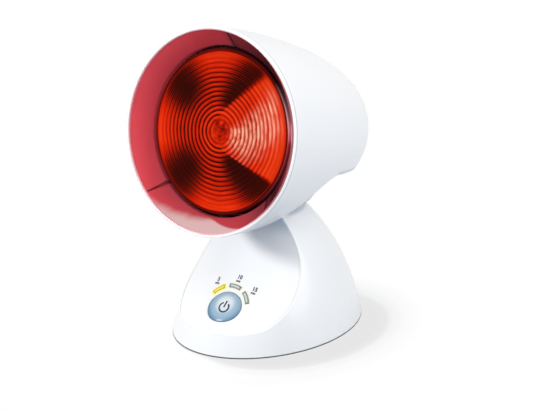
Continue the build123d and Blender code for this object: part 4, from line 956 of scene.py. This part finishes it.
def pick_points(piece, test):
    """In edit mode, selects the points that pass a test of their place."""
    bpy.ops.mesh.select_mode(type="VERT")
    bpy.ops.mesh.select_all(action="DESELECT")
    mesh = bmesh.from_edit_mesh(piece.data)
    for point in mesh.verts:
        point.select_set(test(point.co))
    mesh.select_flush_mode()
    bmesh.update_edit_mesh(piece.data)


def apply_place(piece, place):
    """Moves a piece to its place and puts the place into its mesh."""
    only(piece)
    piece.matrix_world = place
    bpy.ops.object.transform_apply(location=True, rotation=True, scale=True)


def stretch(piece, share, centre=(0, 0, 0)):
    """Scales the mesh of a piece about a point."""
    begin_edit(piece)
    bpy.ops.transform.resize(value=share, center_override=centre)
    bpy.ops.object.mode_set(mode="OBJECT")


def apply_modifier(piece, kind, **settings):
    only(piece)
    added = piece.modifiers.new(kind.lower(), kind)
    for setting, value in settings.items():
        setattr(added, setting, value)
    bpy.ops.object.modifier_apply(modifier=added.name)


def smooth(piece, degrees):
    only(piece)
    bpy.ops.object.shade_smooth_by_angle(angle=math.radians(degrees))


def finished(piece, body, material):
    """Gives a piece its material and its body."""
    piece.data.materials.clear()
    piece.data.materials.append(material)
    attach(piece, body)
    return piece


def extrude_to(share, rise):
    """Extrudes the selected edges upwards and scales their far ends about the Z axis."""
    bpy.ops.mesh.extrude_edges_move(TRANSFORM_OT_translate={"value": (0, 0, rise)})
    bpy.ops.transform.resize(value=(share, share, 1), center_override=(0, 0, 0))


def turned(name, steps, segments):
    """Piece turned about Z from (radius, height) steps, both ends closed on the axis."""
    nothing_selected()
    radius, height = steps[0]
    bpy.ops.mesh.primitive_circle_add(
        vertices=segments, radius=radius, location=(0, 0, height), fill_type="TRIFAN"
    )
    piece = bpy.context.object
    piece.name = name
    apply_place(piece, piece.matrix_world.copy())
    begin_edit(piece, "EDGE")
    bpy.ops.mesh.region_to_loop()
    for next_radius, next_height in steps[1:]:
        extrude_to(next_radius / radius, next_height - height)
        radius, height = next_radius, next_height
    bpy.ops.mesh.extrude_edges_move(TRANSFORM_OT_translate={"value": (0, 0, 0)})
    bpy.ops.mesh.merge(type="CENTER")
    end_edit()
    return piece


def arc_strip(name, inner, outer, start, end, steps):
    """Flat strip round Z between two angles in degrees, facing up, with as many faces along it as steps."""
    count = round(360 * steps / (end - start))
    nothing_selected()
    bpy.ops.mesh.primitive_circle_add(vertices=count, radius=inner, fill_type="NOTHING")
    piece = bpy.context.object
    piece.name = name
    apply_place(piece, Matrix.Rotation(math.radians(start), 4, "Z"))
    sweep = math.radians(end - start)

    def outside(point):
        angle = (math.atan2(point.y, point.x) - math.radians(start)) % (2 * math.pi)
        return sweep + 1e-4 < angle < 2 * math.pi - 1e-4

    begin_edit(piece)
    pick_points(piece, outside)
    bpy.ops.mesh.delete(type="VERT")
    bpy.ops.mesh.select_mode(type="EDGE")
    bpy.ops.mesh.select_all(action="SELECT")
    extrude_to(outer / inner, 0)
    bpy.ops.mesh.select_all(action="SELECT")
    bpy.ops.mesh.normals_make_consistent(inside=False)
    bpy.ops.object.mode_set(mode="OBJECT")
    if piece.data.polygons[0].normal.z < 0:
        begin_edit(piece)
        bpy.ops.mesh.flip_normals()
        bpy.ops.object.mode_set(mode="OBJECT")
    return piece


def lay_on(piece, target, place, lift):
    """Lays a flat piece on a surface below it, along the place's Z, and puts the place into its mesh."""
    only(piece)
    piece.matrix_world = place
    apply_modifier(
        piece, "SHRINKWRAP", target=target, wrap_method="PROJECT", use_project_x=False, use_project_y=False,
        use_project_z=True, use_negative_direction=True, use_positive_direction=True, offset=lift,
    )
    apply_place(piece, piece.matrix_world.copy())


# ======== lens
def lens_height(radius):
    """Height of the lens's plain dome over the plane of the bell's rim."""
    return LENS_TOP - radius**2 / (2 * LENS_DOME)


def ridge_steps(points=8):
    """Profile of the ridges from the outermost groove inwards; the outer ones are shallower."""
    outermost = RIDGE_FIRST + RIDGE_COUNT * RIDGE_PITCH
    steps = []
    for i in range(RIDGE_COUNT * points + 1):
        radius = outermost - i * RIDGE_PITCH / points
        crest = 0.5 + 0.5 * math.cos(2 * math.pi * i / points + math.pi)
        depth = RIDGE_DEPTH * min(1.0, 0.2 + (outermost - radius) / (14 * MM))
        steps.append((radius, lens_height(radius) - depth * (1 - crest**0.7)))
    return steps


def make_lens(material):
    """Pressed glass lens with rings of ridges, a plain middle and a plain rim band."""
    back = [
        (4, -17.2), (30, -17.4), (52, -17.8), (58, -17.9),
        (58, -22.4), (61, -22.4), (61, -16.4), (60.4, -15.6),
    ]
    steps = [(radius * MM, height * MM) for radius, height in back]
    steps.append((59.5 * MM, lens_height(59.5 * MM)))
    steps += ridge_steps()
    steps += [(radius * MM, lens_height(radius * MM)) for radius in (5.6, 4.0, 2.4, 1.0)]
    lens = turned("ridged_lens", steps, 144)
    apply_place(lens, HEAD_PLACE)
    smooth(lens, 50)
    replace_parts(finished(lens, "head", material), "lens_glass")


# ======== button
def make_button():
    """Domed oval button with a rounded rim, its flange, its hollow and its stem."""
    half = BUTTON_HALF_WIDTH
    outline = [
        (1.6, -9.3), (2.5, -9.3), (2.5, -1.8), (12.4, -1.6), (12.6, -5.5), (15.6, -5.5), (15.6, -4.3),
        (half, -4.3), (half, 0.0), (half - 0.12, 0.42), (half - 0.45, 0.76), (half - 1.0, 1.0),
    ]
    top, rise = 2.8, 2.0  # height of the dome's top, and how far it rises over its edge
    dome = (half**2 + rise**2) / (2 * rise)
    radii = [12.4, 11.2, 9.6, 8.0, 6.4, 4.8, 3.2, 1.6, 0.6]
    outline += [(radius, top - dome + math.sqrt(dome**2 - radius**2)) for radius in radii]
    button = turned("button_cap", [(radius * MM, height * MM) for radius, height in outline], 96)
    stretch(button, (1, BUTTON_HALF_HEIGHT / half, 1))
    smooth(button, 40)
    apply_place(button, BUTTON_PLACE)
    return button


def make_standby_mark(button, material):
    """Broken ring with a bar through its gap, printed on the button."""
    ring = arc_strip("standby_ring", 3.3 * MM, 4.65 * MM, 118, 422, 44)
    nothing_selected()
    bpy.ops.mesh.primitive_grid_add(x_subdivisions=2, y_subdivisions=8, size=1)
    bar = bpy.context.object
    apply_place(bar, Matrix.Translation((0, 2.65 * MM, 0)) @ Matrix.Diagonal((1.35 * MM, 5.8 * MM, 1, 1)))
    only(ring)
    bar.select_set(True)
    bpy.ops.object.join()
    ring.name = "standby_mark"
    apply_place(ring, Matrix.Translation((0, 0, 6 * MM)))
    lay_on(ring, button, BUTTON_PLACE @ Matrix.Translation((1.5 * MM, -1.0 * MM, 0)), PRINT_LIFT)
    finished(ring, "button", material)


# ======== timer lights and labels
def make_light_cap(name, angle, spread, material):
    """Raised cover on a light guide."""
    inner, outer = LIGHT_ORBIT - LIGHT_WIDTH / 2, LIGHT_ORBIT + LIGHT_WIDTH / 2
    half = LIGHT_HALF - 0.2
    cap = arc_strip(name, inner, outer, angle - half, angle + half, 10)
    apply_place(cap, Matrix.Translation((0, 0, 6 * MM)))
    lay_on(cap, nodes["light_guides"], BUTTON_PLACE, 0.0)
    centre = sum((vertex.co for vertex in cap.data.vertices), Vector()) / len(cap.data.vertices)
    stretch(cap, (spread, spread, spread), centre)
    apply_modifier(cap, "SOLIDIFY", thickness=0.3 * MM, offset=1.0)
    smooth(cap, 40)
    finished(cap, "base", material)


def make_light_caps():
    yellow = light_cover("light_on_yellow", ink(216, 198, 34), ink(206, 184, 26), 0.12)
    silver = light_cover("light_off_silver", ink(186, 194, 194), ink(132, 140, 138), 0.0)
    covers = ((5, 1.16, yellow), (10, 1.24, silver), (15, 1.24, silver))
    for angle, (minutes, spread, cover) in zip(LIGHT_ANGLES, covers):
        make_light_cap(f"light_cap_{minutes}", angle, spread, cover)


def printed_text(name, words, width, x, y, material):
    """Small printed word on the front panel, of a given width, upright on the slope."""
    nothing_selected()
    bpy.ops.object.text_add(location=(0, 0, 0))
    text = bpy.context.object
    text.data.body = words
    text.data.align_x = "CENTER"
    text.data.align_y = "CENTER"
    text.data.resolution_u = 4
    text.data.offset = 0.05
    bpy.ops.object.convert(target="MESH")
    text = bpy.context.object
    text.name = name
    share = width / text.dimensions.x
    apply_place(text, Matrix.Diagonal((share, share, 1, 1)))
    label_place = BUTTON_PLACE @ Matrix.Translation((x * MM, y * MM, 5 * MM))
    lay_on(text, nodes["front_panel"], label_place, PRINT_LIFT)
    finished(text, "base", material)


def make_labels(material):
    """Minutes over the unit at each light: width, place from the button and the unit's X, in millimetres."""
    labels = (("5", 2.1, -16.7, 20.9, -16.9), ("10", 3.7, 1.7, 25.9, 1.4), ("15", 3.7, 17.8, 20.2, 17.6))
    unit_width, unit_drop = 4.0, 3.1
    for minutes, width, x, y, unit_x in labels:
        printed_text(f"label_{minutes}", minutes, width * MM, x, y, material)
        printed_text(f"label_{minutes}_min", "min", unit_width * MM, unit_x, y - unit_drop, material)


# ======== liner
def make_seam_tabs(material):
    """Small wedge at the inner end of each seam of the liner."""
    for number, angle in enumerate(SEAM_ANGLES, 1):
        nothing_selected()
        bpy.ops.mesh.primitive_cube_add(size=1, location=(0, 0, 0))
        tab = bpy.context.object
        tab.name = f"seam_tab_{number}"
        begin_edit(tab)
        bpy.ops.transform.resize(value=(6.0 * MM, 7.5 * MM, 0.9 * MM), center_override=(0, 0, 0))
        pick_points(tab, lambda point: point.y > 0)
        bpy.ops.transform.resize(value=(0.25, 1, 0.35), center_override=(2.2 * MM, 0, -0.4 * MM))
        bpy.ops.mesh.select_all(action="SELECT")
        bpy.ops.mesh.bevel(offset=0.15 * MM, segments=2, affect="EDGES")
        end_edit()
        slope = Matrix.Rotation(math.atan2(LINER_DEPTH, LINER_FALL), 4, "X")
        out = Matrix.Translation((0, 66.4 * MM, -11.1 * MM))
        turn = Matrix.Rotation(math.radians(angle - 90), 4, "Z")
        apply_place(tab, HEAD_PLACE @ turn @ out @ slope)
        smooth(tab, 30)
        finished(tab, "head", material)


# ======== put together
set_camera()
light_studio()
lay_floor()
finishes = make_finishes()
finish_frame(finishes)
dark_print = moulded("print_dark", ink(30, 34, 42), 0.5, 0.0006, 0.000004)
grey_print = moulded("print_grey", ink(40, 43, 50), 0.5, 0.0006, 0.000004)
make_lens(finishes["lens_red"])
button_cap = make_button()
make_standby_mark(button_cap, dark_print)
finished(button_cap, "button", finishes["button_grey"])
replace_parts(button_cap, "power_button")
make_light_caps()
make_labels(grey_print)
make_seam_tabs(finishes["liner_red"])
